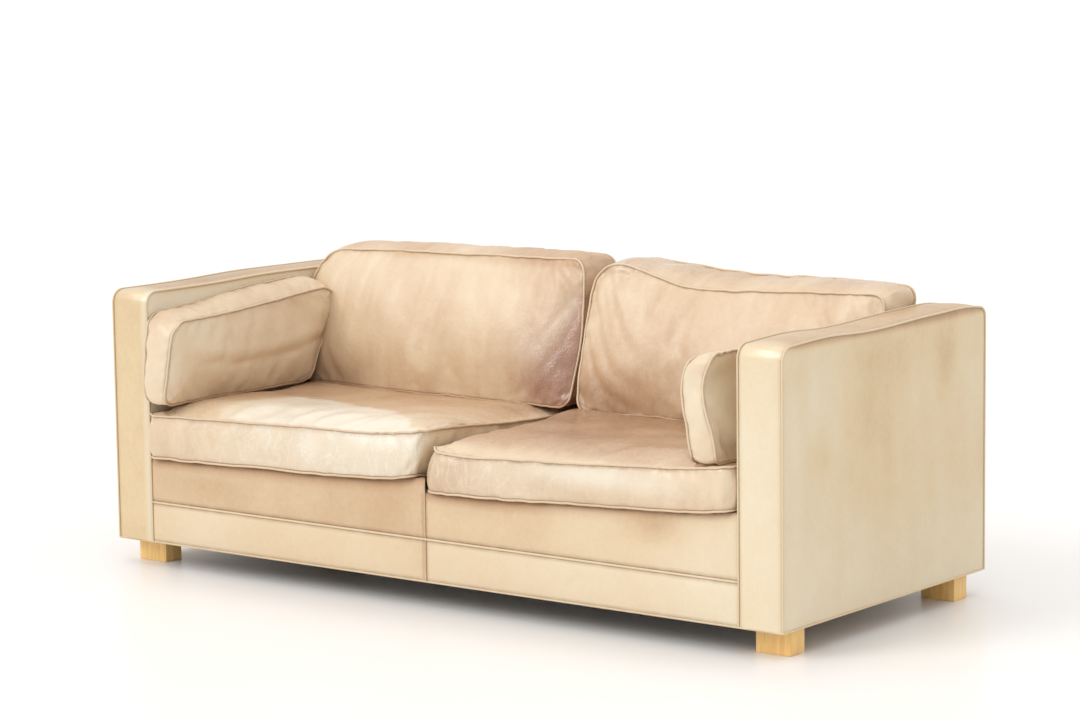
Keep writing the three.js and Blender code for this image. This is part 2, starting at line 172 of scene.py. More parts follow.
def ripple(points, size, seed, waves=28):
    """A soft random field of about -1 to 1 whose bumps are about a size across: the sum of cosine waves
    in random directions, from a seeded generator so that it is the same each time."""
    rng = np.random.default_rng(seed)
    direction = rng.normal(size=(waves, 3))
    direction /= np.linalg.norm(direction, axis=1, keepdims=True)
    wave = direction * (2 * np.pi / (size * rng.uniform(0.7, 1.6, (waves, 1))))
    return np.cos(points @ wave.T + rng.uniform(0, 2 * np.pi, waves)).sum(axis=1) / np.sqrt(waves)


def normals_of(points, faces):
    """The outward direction at each point: the sum of its faces' normals, made one long."""
    a, b, c, d = (points[faces[:, i]] for i in range(4))
    face_normal = np.cross(c - a, d - b)
    normal = np.zeros_like(points)
    for i in range(4):
        np.add.at(normal, faces[:, i], face_normal)
    return normal / np.maximum(np.linalg.norm(normal, axis=1, keepdims=True), 1e-12)


def puff(distance, reach):
    """How full a panel is at a distance from its seam: 1 - exp(-distance / reach)."""
    return 1 - np.exp(-np.maximum(distance, 0) / reach)


# %% [markdown]
# ## From arrays to pieces
#
# Blender takes a mesh from lists of points and faces. Each piece also carries a few named values at its
# points, such as how tan or how stained the leather is there, and the leather material reads them.
# Every piece is tied to the frame here: what it replaces, and which material slot it takes.

# %% Piece helpers
FIELDS = ("tan", "pale", "stain", "dirt_and_shade", "gloss", "crinkle")


def bare_piece(name, points, faces, material, fields):
    """A mesh object that rides on the frame in a material slot. fields gives its named values: each is a
    number, an array of one value for each point, or a function of the points. A field left out is 0."""
    mesh = bpy.data.meshes.new(name)
    mesh.from_pydata(points.tolist(), [], faces)
    mesh.shade_smooth()
    for field in FIELDS if fields else ():
        value = fields.get(field, 0.0)
        value = value(points) if callable(value) else value
        values = np.broadcast_to(np.asarray(value, np.float32), len(points))
        attribute = mesh.attributes.new(field, "FLOAT", "POINT")
        attribute.data.foreach_set("value", np.ascontiguousarray(values))
    mesh.materials.append(material)
    piece = bpy.data.objects.new(name, mesh)
    scene.collection.objects.link(piece)
    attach(piece, "root")
    print(f"{name}: {len(points)} points, {len(faces)} faces")
    return piece


def new_piece(name, points, faces, material, replaces, fields=None, subdivide=0, wall=0.0):
    """A piece that stands for some CAD nodes. subdivide adds that many levels of subdivision, and wall
    gives an open skin a thickness inwards."""
    piece = bare_piece(name, points, faces.tolist(), material, fields)
    if subdivide:
        smooth = piece.modifiers.new("smooth", "SUBSURF")
        smooth.levels = smooth.render_levels = subdivide
    if wall:
        skin = piece.modifiers.new("wall", "SOLIDIFY")
        skin.thickness = wall
        skin.offset = -1
    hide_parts(*replaces)
    return piece


def round_cord(path, outward, radius, closed, sides=8):
    """The points and faces of a round cord along a path. Each ring lies square to the path, turned so
    that it starts at the outward direction, which keeps the cord from twisting."""
    path, outward = np.asarray(path, float), np.asarray(outward, float)
    count = len(path)
    along = np.roll(path, -1, 0) - np.roll(path, 1, 0)
    if not closed:
        along[0], along[-1] = path[1] - path[0], path[-1] - path[-2]
    along /= np.linalg.norm(along, axis=1, keepdims=True)
    out = outward - (outward * along).sum(1, keepdims=True) * along
    out /= np.linalg.norm(out, axis=1, keepdims=True)
    side = np.cross(along, out)
    angle = np.linspace(0, 2 * np.pi, sides, endpoint=False)
    ring = out[:, None] * np.cos(angle)[None, :, None] + side[:, None] * np.sin(angle)[None, :, None]
    points = (path[:, None] + radius * ring).reshape(-1, 3)
    i, j = np.meshgrid(np.arange(count if closed else count - 1), np.arange(sides), indexing="ij")
    i, j = i.ravel(), j.ravel()
    here, ahead, beside = i * sides, ((i + 1) % count) * sides, (j + 1) % sides
    faces = np.stack([here + beside, ahead + beside, ahead + j, here + j], 1).tolist()
    if not closed:
        start, end, last_ring = len(points), len(points) + 1, (count - 1) * sides
        points = np.concatenate([points, path[:1], path[-1:]])
        rim = np.arange(sides)
        next_rim = (rim + 1) % sides
        faces += np.stack([np.full(sides, start), rim, next_rim], 1).tolist()
        faces += np.stack([np.full(sides, end), last_ring + next_rim, last_ring + rim], 1).tolist()
    return points, faces


def cord_piece(name, loops, radius, material, fields, closed=True):
    """One piece made of several cords of the same radius. Each loop is (path, outward directions)."""
    all_points, all_faces, start = [], [], 0
    for path, outward in loops:
        points, faces = round_cord(path, outward, radius, closed)
        all_points.append(points)
        all_faces += [[i + start for i in face] for face in faces]
        start += len(points)
    bare_piece(name, np.concatenate(all_points), all_faces, material, fields)


# %% [markdown]
# ## Leather
#
# Vegetable-tanned leather starts pale and darkens to tan where light and hands reach it. A colour ramp
# from cream to brown follows the "tan" value at each point, with noise at three sizes for the patchy hide.
# Over that come a pale colour (bleached wear, and in a few places painted highlights and painted light),
# a glossy brown stain, and a darker edge beside the seams that is partly dirt and partly painted shade.
# Its surface has pores (a fine cell pattern), soft dimples, and crinkles where it has been sat on.

# %% Material helpers
def add(tree, kind, inputs=None, **settings):
    """One shader node, with its settings, and its inputs by name or number: a value or another output."""
    node = tree.nodes.new("ShaderNode" + kind)
    for key, value in settings.items():
        setattr(node, key, value)
    for key, value in (inputs or {}).items():
        if isinstance(value, bpy.types.NodeSocket):
            tree.links.new(value, node.inputs[key])
        else:
            node.inputs[key].default_value = value
    return node


def maths(tree, operation, a, b=0.0, clamp=False):
    """One arithmetic node."""
    return add(tree, "Math", {0: a, 1: b}, operation=operation, use_clamp=clamp).outputs[0]


def mix_colour(tree, factor, a, b, blend="MIX"):
    """One colour mixed over another."""
    node = add(tree, "Mix", data_type="RGBA", blend_type=blend)
    for socket, value in ((node.inputs[0], factor), (node.inputs[6], a), (node.inputs[7], b)):
        if isinstance(value, bpy.types.NodeSocket):
            tree.links.new(value, socket)
        else:
            socket.default_value = value
    return node.outputs[2]


def ramp_node(tree, factor, stops):
    """A colour ramp through (place, colour) stops."""
    node = add(tree, "ValToRGB", {0: factor})
    elements = node.color_ramp.elements
    while len(elements) < len(stops):
        elements.new(0.5)
    for element, (place, colour) in zip(elements, stops):
        element.position = place
        element.color = (*colour, 1)
    return node.outputs[0]


def new_material(name, roughness, **constants):
    """A material with its main shader, whose unvarying values are set on the shader's own sockets."""
    material = bpy.data.materials.new(name)
    material.use_nodes = True
    shader = material.node_tree.nodes["Principled BSDF"]
    shader.inputs["Roughness"].default_value = roughness
    for key, value in constants.items():
        shader.inputs[key].default_value = value
    print("material", name)
    return material, material.node_tree, shader


CREAM = (0.77, 0.67, 0.495)
BEIGE = (0.70, 0.54, 0.365)
TAN = (0.53, 0.335, 0.195)
BROWN = (0.36, 0.20, 0.105)
# The pale colour serves bleached wear, and also painted highlights and painted light.
BLEACH_AND_PAINTED_LIGHT = (0.80, 0.725, 0.595)
STAINED = (0.36, 0.185, 0.125)
# The darkest colour, beside the seams, stands for dirt and for painted shade.
GRIME_AND_SHADE = (0.20, 0.105, 0.05)


def noise(tree, place, scale, detail, rough=0.5, distortion=0.0):
    """Noise at the points of a place vector."""
    return add(tree, "TexNoise", {"Vector": place, "Scale": scale, "Detail": detail, "Roughness": rough,
                                  "Distortion": distortion}).outputs["Fac"]


def worn_lines(tree, place, crinkle):
    """A web of thin upright lines where the leather is crinkled: noise close to its middle value."""
    stretched = add(tree, "Mapping", {"Vector": place, "Scale": (1, 1, 0.45)}).outputs[0]
    web = noise(tree, stretched, 24.0, 2.0, distortion=1.6)
    off_line = maths(tree, "ABSOLUTE", maths(tree, "SUBTRACT", web, 0.5))
    line = maths(tree, "SUBTRACT", 1.0, maths(tree, "MULTIPLY", off_line, 16.0), clamp=True)
    return maths(tree, "MULTIPLY", line, crinkle)


def leather_colour(tree, place, field, clouds, lines, blue):
    """The leather's colour. The pale areas, bleached wear with a few painted highlights and painted light,
    and the stained areas have edges that the clouds make ragged. Beside the seams it darkens: dirt and
    painted shade.
    """
    tone = field["tan"]
    patches, mottle = noise(tree, place, 3.2, 4, 0.55), noise(tree, place, 90, 3, 0.6)
    for source, amount in ((patches, 0.26), (clouds, 0.20), (mottle, 0.14)):
        swing = maths(tree, "MULTIPLY", maths(tree, "SUBTRACT", source, 0.5), amount)
        tone = maths(tree, "ADD", tone, swing)
    darker = ((0.36, BEIGE), (0.72, TAN), (1.0, BROWN))
    tones = [(0.0, CREAM), *((at, (r, g, b * blue)) for at, (r, g, b) in darker)]
    colour = ramp_node(tree, tone, tones)
    fray = maths(tree, "MULTIPLY", maths(tree, "SUBTRACT", clouds, 0.5), 0.9)

    def ragged(value):
        return maths(tree, "ADD", value, maths(tree, "MULTIPLY", fray, value), clamp=True)

    pale = maths(tree, "ADD", ragged(field["pale"]), maths(tree, "MULTIPLY", lines, 0.34), clamp=True)
    # The pale mix is bleached wear, but in a few places it is painted highlights and painted light.
    colour = mix_colour(tree, pale, colour, (*BLEACH_AND_PAINTED_LIGHT, 1))
    colour = mix_colour(tree, ragged(field["stain"]), colour, (*STAINED, 1))
    # Beside the seams the leather darkens: partly dirt, partly painted shade in the groove by the piping.
    dirt_and_shade = maths(tree, "MULTIPLY", field["dirt_and_shade"], 1.0, clamp=True)
    return mix_colour(tree, dirt_and_shade, colour, (*GRIME_AND_SHADE, 1))


def leather_relief(tree, place, field, lines):
    """The leather's bump: pores, then soft dimples, then crinkles that are cracked along the worn lines."""
    pores = add(tree, "TexVoronoi", {"Vector": place, "Scale": 520.0}).outputs["Distance"]
    cells = add(tree, "TexVoronoi", {
        "Vector": place, "Scale": 150.0}, feature="DISTANCE_TO_EDGE").outputs["Distance"]
    cracks = maths(tree, "MULTIPLY", maths(tree, "SMOOTH_MIN", cells, 0.12), field["crinkle"])
    cracks = maths(tree, "SUBTRACT", cracks, maths(tree, "MULTIPLY", lines, 0.22))
    bumped = add(tree, "Bump", {"Strength": 0.22, "Distance": 0.0006, "Height": pores}).outputs[0]
    bumped = add(tree, "Bump", {"Strength": 0.38, "Distance": 0.004, "Normal": bumped,
                                "Height": noise(tree, place, 38, 4, 0.60)}).outputs[0]
    return add(tree, "Bump", {
        "Strength": 0.45, "Distance": 0.005, "Height": cracks, "Normal": bumped}).outputs[0]


def leather(name, offset, blue=1.0):
    """Worn leather. offset moves its noise, so that no two hides repeat each other, and a blue below 1
    makes its darker tones more golden. It is rougher where the clouds are bright."""
    material, tree, shader = new_material(name, 0.5, **{"Coat Weight": 0.10, "Coat Roughness": 0.32})
    place = add(tree, "Mapping", {
        "Vector": add(tree, "TexCoord").outputs["Object"], "Location": (offset, 2 * offset, 0),
    }).outputs[0]
    field = {f: add(tree, "Attribute", attribute_name=f).outputs["Fac"] for f in FIELDS}
    clouds = noise(tree, place, 14, 4, 0.6)
    lines = worn_lines(tree, place, field["crinkle"])
    rough = maths(tree, "ADD", maths(tree, "MULTIPLY", maths(tree, "SUBTRACT", clouds, 0.5), 0.22), 0.47)
    shine = maths(tree, "MULTIPLY", field["gloss"], -0.24)
    polish = maths(tree, "ADD", maths(tree, "MULTIPLY", field["gloss"], 0.55), 0.06, clamp=True)
    for socket, value in (
        ("Base Color", leather_colour(tree, place, field, clouds, lines, blue)),
        ("Roughness", maths(tree, "ADD", rough, shine)),
        ("Coat Weight", polish),
        ("Normal", leather_relief(tree, place, field, lines)),
    ):
        tree.links.new(value, shader.inputs[socket])
    return material


arm_hide = leather("arm_leather", 0.0, blue=0.88)
front_hide = leather("front_leather", 3.1, blue=0.96)
back_hide = leather("back_leather", 7.7)
seat_hide = leather("seat_leather", 11.3)
cushion_hide = leather("back_cushion_leather", 17.9)
pillow_hide = leather("pillow_leather", 23.4)

# %% [markdown]
# ## Wood, foam, cloth and steel
#
# The feet are lacquered oak: long grain lines are noise stretched far along the grain. The hidden frame
# is bare beech and plywood, the padding is foam with open cells, and the straps and linings are woven.

# %% Other materials
def wood(name, light, dark, along, stretch, roughness, coat=0.0):
    """Wood whose grain runs along an axis: noise squeezed across that axis and stretched along it."""
    material, tree, shader = new_material(name, roughness, **{"Coat Weight": coat, "Coat Roughness": 0.2})
    squeeze = [stretch, stretch, stretch]
    squeeze[along] = stretch / 14
    place = add(tree, "Mapping", {
        "Vector": add(tree, "TexCoord").outputs["Object"], "Scale": tuple(squeeze)}).outputs[0]
    rings = noise(tree, place, 1.0, 5.0, 0.62, distortion=0.4)
    between = tuple(0.5 * (a + b) for a, b in zip(light, dark))
    colour = ramp_node(tree, rings, [(0.32, light), (0.52, between), (0.70, dark)])
    tree.links.new(colour, shader.inputs["Base Color"])
    bump = add(tree, "Bump", {"Strength": 0.2, "Distance": 0.0008, "Height": rings})
    tree.links.new(bump.outputs[0], shader.inputs["Normal"])
    return material


def woven(name, colour, threads, roughness=0.9):
    """Plain weave: two sets of fine waves that cross, for the threads' height and shade."""
    material, tree, shader = new_material(name, roughness)
    place = add(tree, "TexCoord").outputs["Object"]
    waves = [add(tree, "TexWave", {"Vector": place, "Scale": threads, "Distortion": 0.3},
                 bands_direction=axis).outputs["Fac"] for axis in ("X", "Y")]
    weave = maths(tree, "MULTIPLY", *waves)
    shade = mix_colour(tree, weave, (*[0.45 * c for c in colour], 1), (*colour, 1))
    tree.links.new(shade, shader.inputs["Base Color"])
    bump = add(tree, "Bump", {"Strength": 0.5, "Distance": 0.0006, "Height": weave})
    tree.links.new(bump.outputs[0], shader.inputs["Normal"])
    return material


def foam_material(name, colour):
    """Open-cell foam: small cells for its height, and a patchy yellowing."""
    material, tree, shader = new_material(name, 0.95)
    place = add(tree, "TexCoord").outputs["Object"]
    cells = add(tree, "TexVoronoi", {"Vector": place, "Scale": 420.0}).outputs["Distance"]
    age = noise(tree, place, 5.0, 3.0)
    tree.links.new(mix_colour(tree, age, (*colour, 1), (0.78, 0.62, 0.30, 1)), shader.inputs["Base Color"])
    bump = add(tree, "Bump", {"Strength": 0.6, "Distance": 0.001, "Height": cells})
    tree.links.new(bump.outputs[0], shader.inputs["Normal"])
    return material


oak = wood("oak", (0.96, 0.65, 0.25), (0.82, 0.48, 0.145), 2, 160, 0.36, coat=0.25)
beech = wood("beech", (0.62, 0.44, 0.26), (0.46, 0.30, 0.16), 0, 90, 0.6)
beech_upright = wood("beech_upright", (0.62, 0.44, 0.26), (0.46, 0.30, 0.16), 2, 90, 0.6)
beech_deep = wood("beech_deep", (0.62, 0.44, 0.26), (0.46, 0.30, 0.16), 1, 90, 0.6)
plywood = wood("plywood", (0.60, 0.43, 0.23), (0.47, 0.31, 0.15), 1, 60, 0.65)
foam = foam_material("foam", (0.88, 0.80, 0.56))
webbing = woven("webbing", (0.035, 0.034, 0.033), 260)
lining = woven("lining", (0.34, 0.29, 0.23), 420)
steel, steel_tree, steel_shader = new_material("steel", 0.34, Metallic=1.0)
scratches = add(steel_tree, "TexNoise", {"Scale": 240.0, "Detail": 4.0}).outputs["Fac"]
steel_tree.links.new(
    ramp_node(steel_tree, scratches, [(0.3, (0.42, 0.43, 0.45)), (0.7, (0.62, 0.63, 0.64))]),
    steel_shader.inputs["Base Color"])

# %% [markdown]
# ## The hidden frame
#
# Timber pieces are straight boards, and their CAD shapes are right, so they keep them and only get wood.
# The grain runs along each board, so the board's longest side picks the material.

# %% Timber, plywood and bolts
BY_AXIS = (beech, beech_deep, beech_upright)
for node_name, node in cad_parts.items():
    low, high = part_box(node_name)
    longest = int(np.argmax(high - low))
    if "foot_bolt" in node_name:
        finish = steel
    elif node_name.endswith("_board"):
        finish = plywood
    elif node_name.startswith("foot_"):
        finish = oak
    elif node_name.endswith(("_rail", "_post")) or "_post_" in node_name:
        finish = BY_AXIS[longest]
    else:
        continue
    node.data.materials.clear()
    node.data.materials.append(finish)

# %% [markdown]
# ## Feet
#
# Each foot is a sawn block with its edges just broken by sandpaper. A bevelled cube would do; the grid
# gives the same with the round edges' radius in metres.

# %% Feet
FOOT_EDGE = 1.6 * MM


def round_block(low, high, radius, steps=2):
    """A box with rounded edges. The grid has its lines at the ends and at the arcs' centres, and a point
    past them is pulled to the arc: centre + radius * direction."""
    low, high = np.array(low), np.array(high)
    half = (high - low) / 2
    lines = []
    for h in half:
        arc = np.linspace(h - radius, h, steps + 1) / h
        lines.append(np.concatenate([-arc[::-1], arc]))
    grid, faces = block_skin(*lines)
    points = grid * half
    core = np.clip(points, -(half - radius), half - radius)
    out = points - core
    reach = np.abs(out).max(axis=1, keepdims=True)
    out *= reach / np.maximum(np.linalg.norm(out, axis=1, keepdims=True), 1e-12)
    return (low + high) / 2 + core + out, faces


for corner in ("front_left", "front_right", "back_left", "back_right"):
    low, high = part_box(f"foot_{corner}")
    points, faces = round_block(low, high, FOOT_EDGE)
    new_piece(f"oak_foot_{corner}", points, faces, oak, [f"foot_{corner}"])

# %% [markdown]
# ## Foam, straps and linings
#
# What lies under the leather is soft too. The foam pads are rounded slabs, and the straps and linings are
# thin sheets that sag a little between the rails that hold them.

# %% Hidden soft pieces
PAD_GAP = 7 * MM
for pad in ("arm_left_front", "arm_left_top", "arm_right_front", "arm_right_top", "front", "back"):
    low, high = (np.array(c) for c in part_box(f"{pad}_foam"))
    low += (0, PAD_GAP if "front" in pad else 0, 0)
    high -= (0, 0, PAD_GAP if "top" in pad else 1.5 * MM)
    points, faces = round_block(low, high, 4 * MM)
    piece = new_piece(f"{pad}_padding", points, faces, foam, [f"{pad}_foam"])


def slack_sheet(node_name, sag, step):
    """A thin sheet in the box of its CAD node, hanging down between its two ends along Y by a sag."""
    low, high = (np.array(corner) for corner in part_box(node_name))
    size = high - low
    grid, faces = block_skin(spaced(size[0], step, 0), spaced(size[1], step, 0), np.array([-1.0, 1.0]))
    points = (low + high) / 2 + grid * size / 2
    points[:, 2] -= sag * (1 - grid[:, 1] ** 2) * (1 - 0.4 * grid[:, 0] ** 2)
    return points, faces, size


def stretched_piece(name, node_name, sag, step, material):
    """The piece of a sheet that the seat's two rails hold."""
    points, faces, size = slack_sheet(node_name, sag, step)
    piece = new_piece(name, points, faces, material, [node_name])


for strap in range(1, 7):
    stretched_piece(f"webbing_strap_{strap}", f"seat_webbing_{strap}", 3 * MM, 0.035, webbing)
for cloth, sag in (("seat_deck_cloth", 2.4 * MM), ("dust_cover", 0.8 * MM)):
    stretched_piece(f"{cloth}_sheet", cloth, sag, 0.05, lining)

# %% [markdown]
# ## Seams
#
# Along every seam a thin leather piping is sewn in, and the leather beside it is darker: partly dirt that
# settles there, partly painted shade in the groove. Two helpers do this for all pieces: one picks the grid
# points on a seam in walking order, and one measures how near each point of a panel is to the seams, which
# becomes the value for dirt and painted shade.

# %% Seam helpers
PIPING_RADIUS = 2.5 * MM
# How dark the leather gets beside a seam, and how far that reaches: partly dirt, partly painted shade.
SEAM_DIRT_AND_SHADE = 1.2
DIRT_AND_SHADE_REACH = 3.4 * MM


def ring_order(p, q):
    """The order of points round the rim of a square grid, from the corner (-1, -1) towards (1, -1)."""
    walked = np.select([q <= -1, p >= 1, q >= 1], [p + 1, 3 + q, 5 - p], 7 - q)
    return np.argsort(walked, kind="stable")


def seam_loop(grid, points, normals, across, end):
    """The closed seam at one end of the across axis: its points in order, set out by half the piping."""
    p_axis, q_axis = [axis for axis in range(3) if axis != across]
    p, q, t = grid[:, p_axis], grid[:, q_axis], grid[:, across]
    rim = np.flatnonzero((t == end) & (np.maximum(np.abs(p), np.abs(q)) > 1 - 1e-9))
    rim = rim[ring_order(p[rim], q[rim])]
    return points[rim] + 0.45 * PIPING_RADIUS * normals[rim], normals[rim]


def nearness(points, paths, reach):
    """exp(-(distance / reach)^2), for each point's distance to the nearest point of the paths."""
    line = np.concatenate(paths)
    nearest = np.full(len(points), np.inf)
    for start in range(0, len(line), 64):
        gap = points[:, None] - line[None, start:start + 64]
        nearest = np.minimum(nearest, np.einsum("ijk,ijk->ij", gap, gap).min(axis=1))
    return np.exp(-nearest / reach ** 2)


def spot(points, centre, size):
    """A soft spot: a bell curve round a centre, with its own size along X, Y and Z."""
    return np.exp(-(((points - centre) / np.array(size)) ** 2).sum(axis=1) / 2)


def spots(points, marks):
    """The sum of several soft spots, each given as (strength, centre, size)."""
    return sum(strength * spot(points, centre, size) for strength, centre, size in marks)


# %% [markdown]
# ## Arms
#
# An arm is a padded slab. A leather panel covers each side, and one strip runs up the front, over the top
# and down the back. The strip stands up slightly between its seams, and each panel is fuller in its middle.

# %% Arms
ARM_CROWN = 5 * MM
LEATHER_WALL = 1.6 * MM
PANEL_FULLNESS = 3.5 * MM
ARM_TOP = {
    "left": through((-0.39, 0.619), (-0.15, 0.619), (0.01, 0.623), (0.23, 0.621), (0.40, 0.619)),
    "right": through((-0.39, 0.615), (-0.20, 0.621), (-0.09, 0.616), (0.19, 0.622), (0.35, 0.621),
                     (0.40, 0.614)),
}
RIGHT_ARM_SPOTS = (
    (0.17, (0.90, -0.045, 0.46), (1, 0.085, 0.09)),
    (0.26, (0.90, 0.23, 0.52), (1, 0.025, 0.045)),
    (0.20, (0.90, -0.25, 0.39), (1, 0.03, 0.03)),
)


def arm_cover(side, sign):
    """One arm's leather. Across X it is flat-sided; in Y and Z its outline is a rectangle with round
    corners, which the strip overtops by ARM_CROWN * (1 - u^2)."""
    low, high = (np.array(c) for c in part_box(f"arm_{side}_strip_leather"))
    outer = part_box(f"arm_{side}_outer_leather")
    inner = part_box(f"arm_{side}_inner_leather")
    x0 = min(outer[0][0], inner[0][0])
    x1 = max(outer[1][0], inner[1][0])
    half = np.array([(x1 - x0) / 2, (high[1] - low[1]) / 2, (high[2] - low[2]) / 2])
    middle = np.array([(x0 + x1) / 2, (low[1] + high[1]) / 2, (low[2] + high[2]) / 2])
    us = spaced(2 * half[0], 0.010, 0.7)
    vs, ws = (spaced(2 * h, 0.012, 0.8) for h in half[1:])
    grid, faces = block_skin(us, vs, ws, left_open=[(2, 0)])
    u, v, w = grid.T
    crown = ARM_CROWN * (1 - u ** 2)
    radius = np.where(w > 0, np.where(v < 0, 0.028, 0.018), 0.004)
    y, z = rounded(v * half[1], w * half[2], half[1], half[2], radius)
    y = y * (1 + crown / half[1] * np.abs(v) ** 30)
    z = np.where(z > 0, z * (1 + crown / half[2] * np.abs(w) ** 30), z)
    y_place = y + middle[1]
    z_place = z + middle[2]
    z_place += (ARM_TOP[side](y_place) - high[2]) * ramp(z_place, 0.3, 0.6)
    edge_y, edge_z = half[1] - np.abs(y), half[2] - z
    fullness = PANEL_FULLNESS * puff(edge_y, 0.035) * puff(edge_z, 0.035) * puff(z + half[2], 0.035)
    x = u * (half[0] - 1.2 * MM) + np.where(np.abs(u) == 1, np.sign(u) * fullness, 0)
    points = np.stack([x + middle[0], y_place, z_place], axis=1)
    normals = normals_of(points, faces)
    flat = ripple(points, 0.16, 5 + sign) * 0.7 * MM + ripple(points, 0.055, 9 + sign) * 0.18 * MM
    on_panel = np.where(np.abs(u) == 1, puff(edge_y, 0.03) * puff(edge_z, 0.03), 0.5 * (1 - u ** 2))
    points = points + normals * (flat * on_panel)[:, None]
    return grid, faces, points, normals


def arm_seam(grid, points, normals, end):
    """An arm's seam: up the front, over the top and down the back, on the side where u is end."""
    u, v, w = grid.T
    rim = np.flatnonzero((u == end) & ((np.abs(v) > 1 - 1e-9) | (w > 1 - 1e-9)))
    walked = np.select([v[rim] <= -1, w[rim] >= 1], [w[rim] + 1, 3 + v[rim]], 5 - w[rim])
    rim = rim[np.argsort(walked, kind="stable")]
    return points[rim] + 0.45 * PIPING_RADIUS * normals[rim], normals[rim]


for side, sign in (("left", -1), ("right", 1)):
    grid, faces, points, normals = arm_cover(side, sign)
    seams = [arm_seam(grid, points, normals, end) for end in (-1, 1)]
    x, y, z = points.T
    tan = 0.10 + 0.10 * ramp(z, 0.45, 0.62) + 0.04 * ripple(points, 0.35, 31 + sign)
    tan += 0.48 * ramp(z, 0.600, 0.618) * ramp(y, -0.40, -0.30)
    if side == "left":
        tan += 0.28 - 0.42 * ramp(x, -0.81, -0.80) - 0.16 * ramp(z, 0.600, 0.618) + 0.06 * ramp(z, 0.5, 0.2)
    else:
        on_side = ramp(x, 0.88, 0.899)
        tan += on_side * (0.06 + 0.10 * ramp(y, -0.35, 0.0) - 0.12 * ramp(z, 0.32, 0.10))
        tan += on_side * spots(points, RIGHT_ARM_SPOTS)
        tan += on_side * 0.03 * ripple(points * (0, 1, 0.14), 0.05, 30)
    # Beside the seams the leather darkens: partly dirt, partly painted shade.
    near = nearness(points, [s[0] for s in seams], DIRT_AND_SHADE_REACH)
    fields = {"tan": np.clip(tan, 0, 1), "dirt_and_shade": 0.8 * near,
              # Painted light: the left arm's inner face is painted paler, as little light reaches that face.
              "pale": 0.45 * ramp(x, -0.81, -0.80) * ramp(x, -0.70, -0.71),
              "gloss": 0.15 + ramp(z, 0.55, 0.60) * (0.25 + 0.55 * ramp(y, -0.30, -0.37)), "crinkle": 0.15}
    new_piece(f"arm_{side}_cover", points, faces, arm_hide,
              [f"arm_{side}_{p}_leather" for p in ("strip", "outer", "inner")], fields,
              subdivide=1, wall=LEATHER_WALL)
    cord_piece(f"arm_{side}_piping", seams, 2.1 * MM, arm_hide, closed=False,
               fields={"tan": 0.26 + 0.08 * (side == "left")})

# %% [markdown]
# ## Front and back panels
#
# The front between the arms is four sewn panels with a level seam and a middle seam, and the outside of
# the back is two. Each is a thin padded slab that is fuller away from its edges.

# %% Panels
def padded_panel(node_name, fullness, facing, seed):
    """A padded panel in the box of its CAD node. facing is -1 for one that faces the front and 1 for one
    that faces the back, and only that face is full. The back is seen less, so its grid is coarser."""
    low, high = (np.array(c, float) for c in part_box(node_name))
    size = high - low
    step = 0.013 if facing < 0 else 0.020
    grid, faces = block_skin(
        spaced(size[0], step, 0.7), np.array([-1.0, 0.0, 1.0]), spaced(size[2], 0.8 * step, 0.7))
    u, v, w = grid.T
    points = (low + high) / 2 + grid * size / 2
    edge_x, edge_z = (1 - np.abs(u)) * size[0] / 2, (1 - np.abs(w)) * size[2] / 2
    full = puff(edge_x, 0.012) * puff(edge_z, 0.012)
    outside = v == facing
    waves = 0.9 * MM * ripple(points, 0.12, seed) + 0.25 * MM * ripple(points, 0.04, seed)
    lift = fullness * full + full * waves
    drawn_in = 1.5 * MM * (1 - puff(np.minimum(edge_x, edge_z), 0.003))
    points[:, 1] += facing * np.where(outside, lift - drawn_in, 0)
    return points, faces, size, low, high


SEAT_FOOT = {
    "left": through((-0.79, 0.252), (-0.665, 0.253), (-0.489, 0.258), (-0.268, 0.262), (-0.07, 0.274),
                    (0, 0.284)),
    "right": through((0, 0.252), (0.243, 0.257), (0.371, 0.264), (0.541, 0.271), (0.70, 0.280),
                     (0.80, 0.291)),
}
FRONT_SPOTS = {
    "left": ((0.14, (-0.62, -0.38, 0.20), (0.08, 1, 0.02)), (0.12, (-0.10, -0.38, 0.18), (0.05, 1, 0.04))),
    "right": ((0.30, (0.60, -0.38, 0.235), (0.05, 1, 0.022)), (0.16, (0.15, -0.38, 0.245), (0.10, 1, 0.016))),
}
FRONT_PANELS = [(band, half) for band in ("upper", "lower") for half in ("left", "right")]
for i, (band, half) in enumerate(FRONT_PANELS):
    node_name = f"front_{band}_leather_{half}"
    points, faces, size, low, high = padded_panel(node_name, 4.5 * MM, -1, 40 + i)
    if band == "upper":
        part = ((points[:, 2] - low[2]) / size[2]) ** 2
        points[:, 2] += part * (SEAT_FOOT[half](points[:, 0]) - 5 * MM - high[2])
    x, y, z = points.T
    tan = 0.36 + 0.05 * ripple(points, 0.3, 60 + i)
    tan += (0.16 if band == "upper" else -0.02) * (1 if half == "left" else 0.45)
    tan -= (0.16 if band == "upper" else 0.24) * ramp(x, 0.1, 0.7)
    if half == "right":
        tan += (0.05 if band == "upper" else -0.07) * ramp(x, 0.55, 0.30)
    tan += spots(points, FRONT_SPOTS[half])
    # Painted shade: each upper panel is darker along its top, just under the seat cushion's front edge.
    tan += 0.26 * (band == "upper") * ramp(SEAT_FOOT[half](x) - z, 0.030, 0.008)
    along = np.linspace(low[0], high[0], 160)
    crest = SEAT_FOOT[half](along) - 5 * MM if band == "upper" else np.full(160, high[2])
    front = np.full(160, low[1])
    level_seams = [np.stack([along, front, height], 1) for height in (np.full(160, low[2]), crest)]
    # Beside the level seams the leather darkens: partly dirt, partly painted shade.
    near = nearness(points, level_seams, 3.6 * MM)
    fields = {"tan": np.clip(tan, 0, 1), "dirt_and_shade": SEAM_DIRT_AND_SHADE * near}
    new_piece(f"front_{band}_panel_{half}", points, faces, front_hide, [node_name], fields,
              subdivide=1)
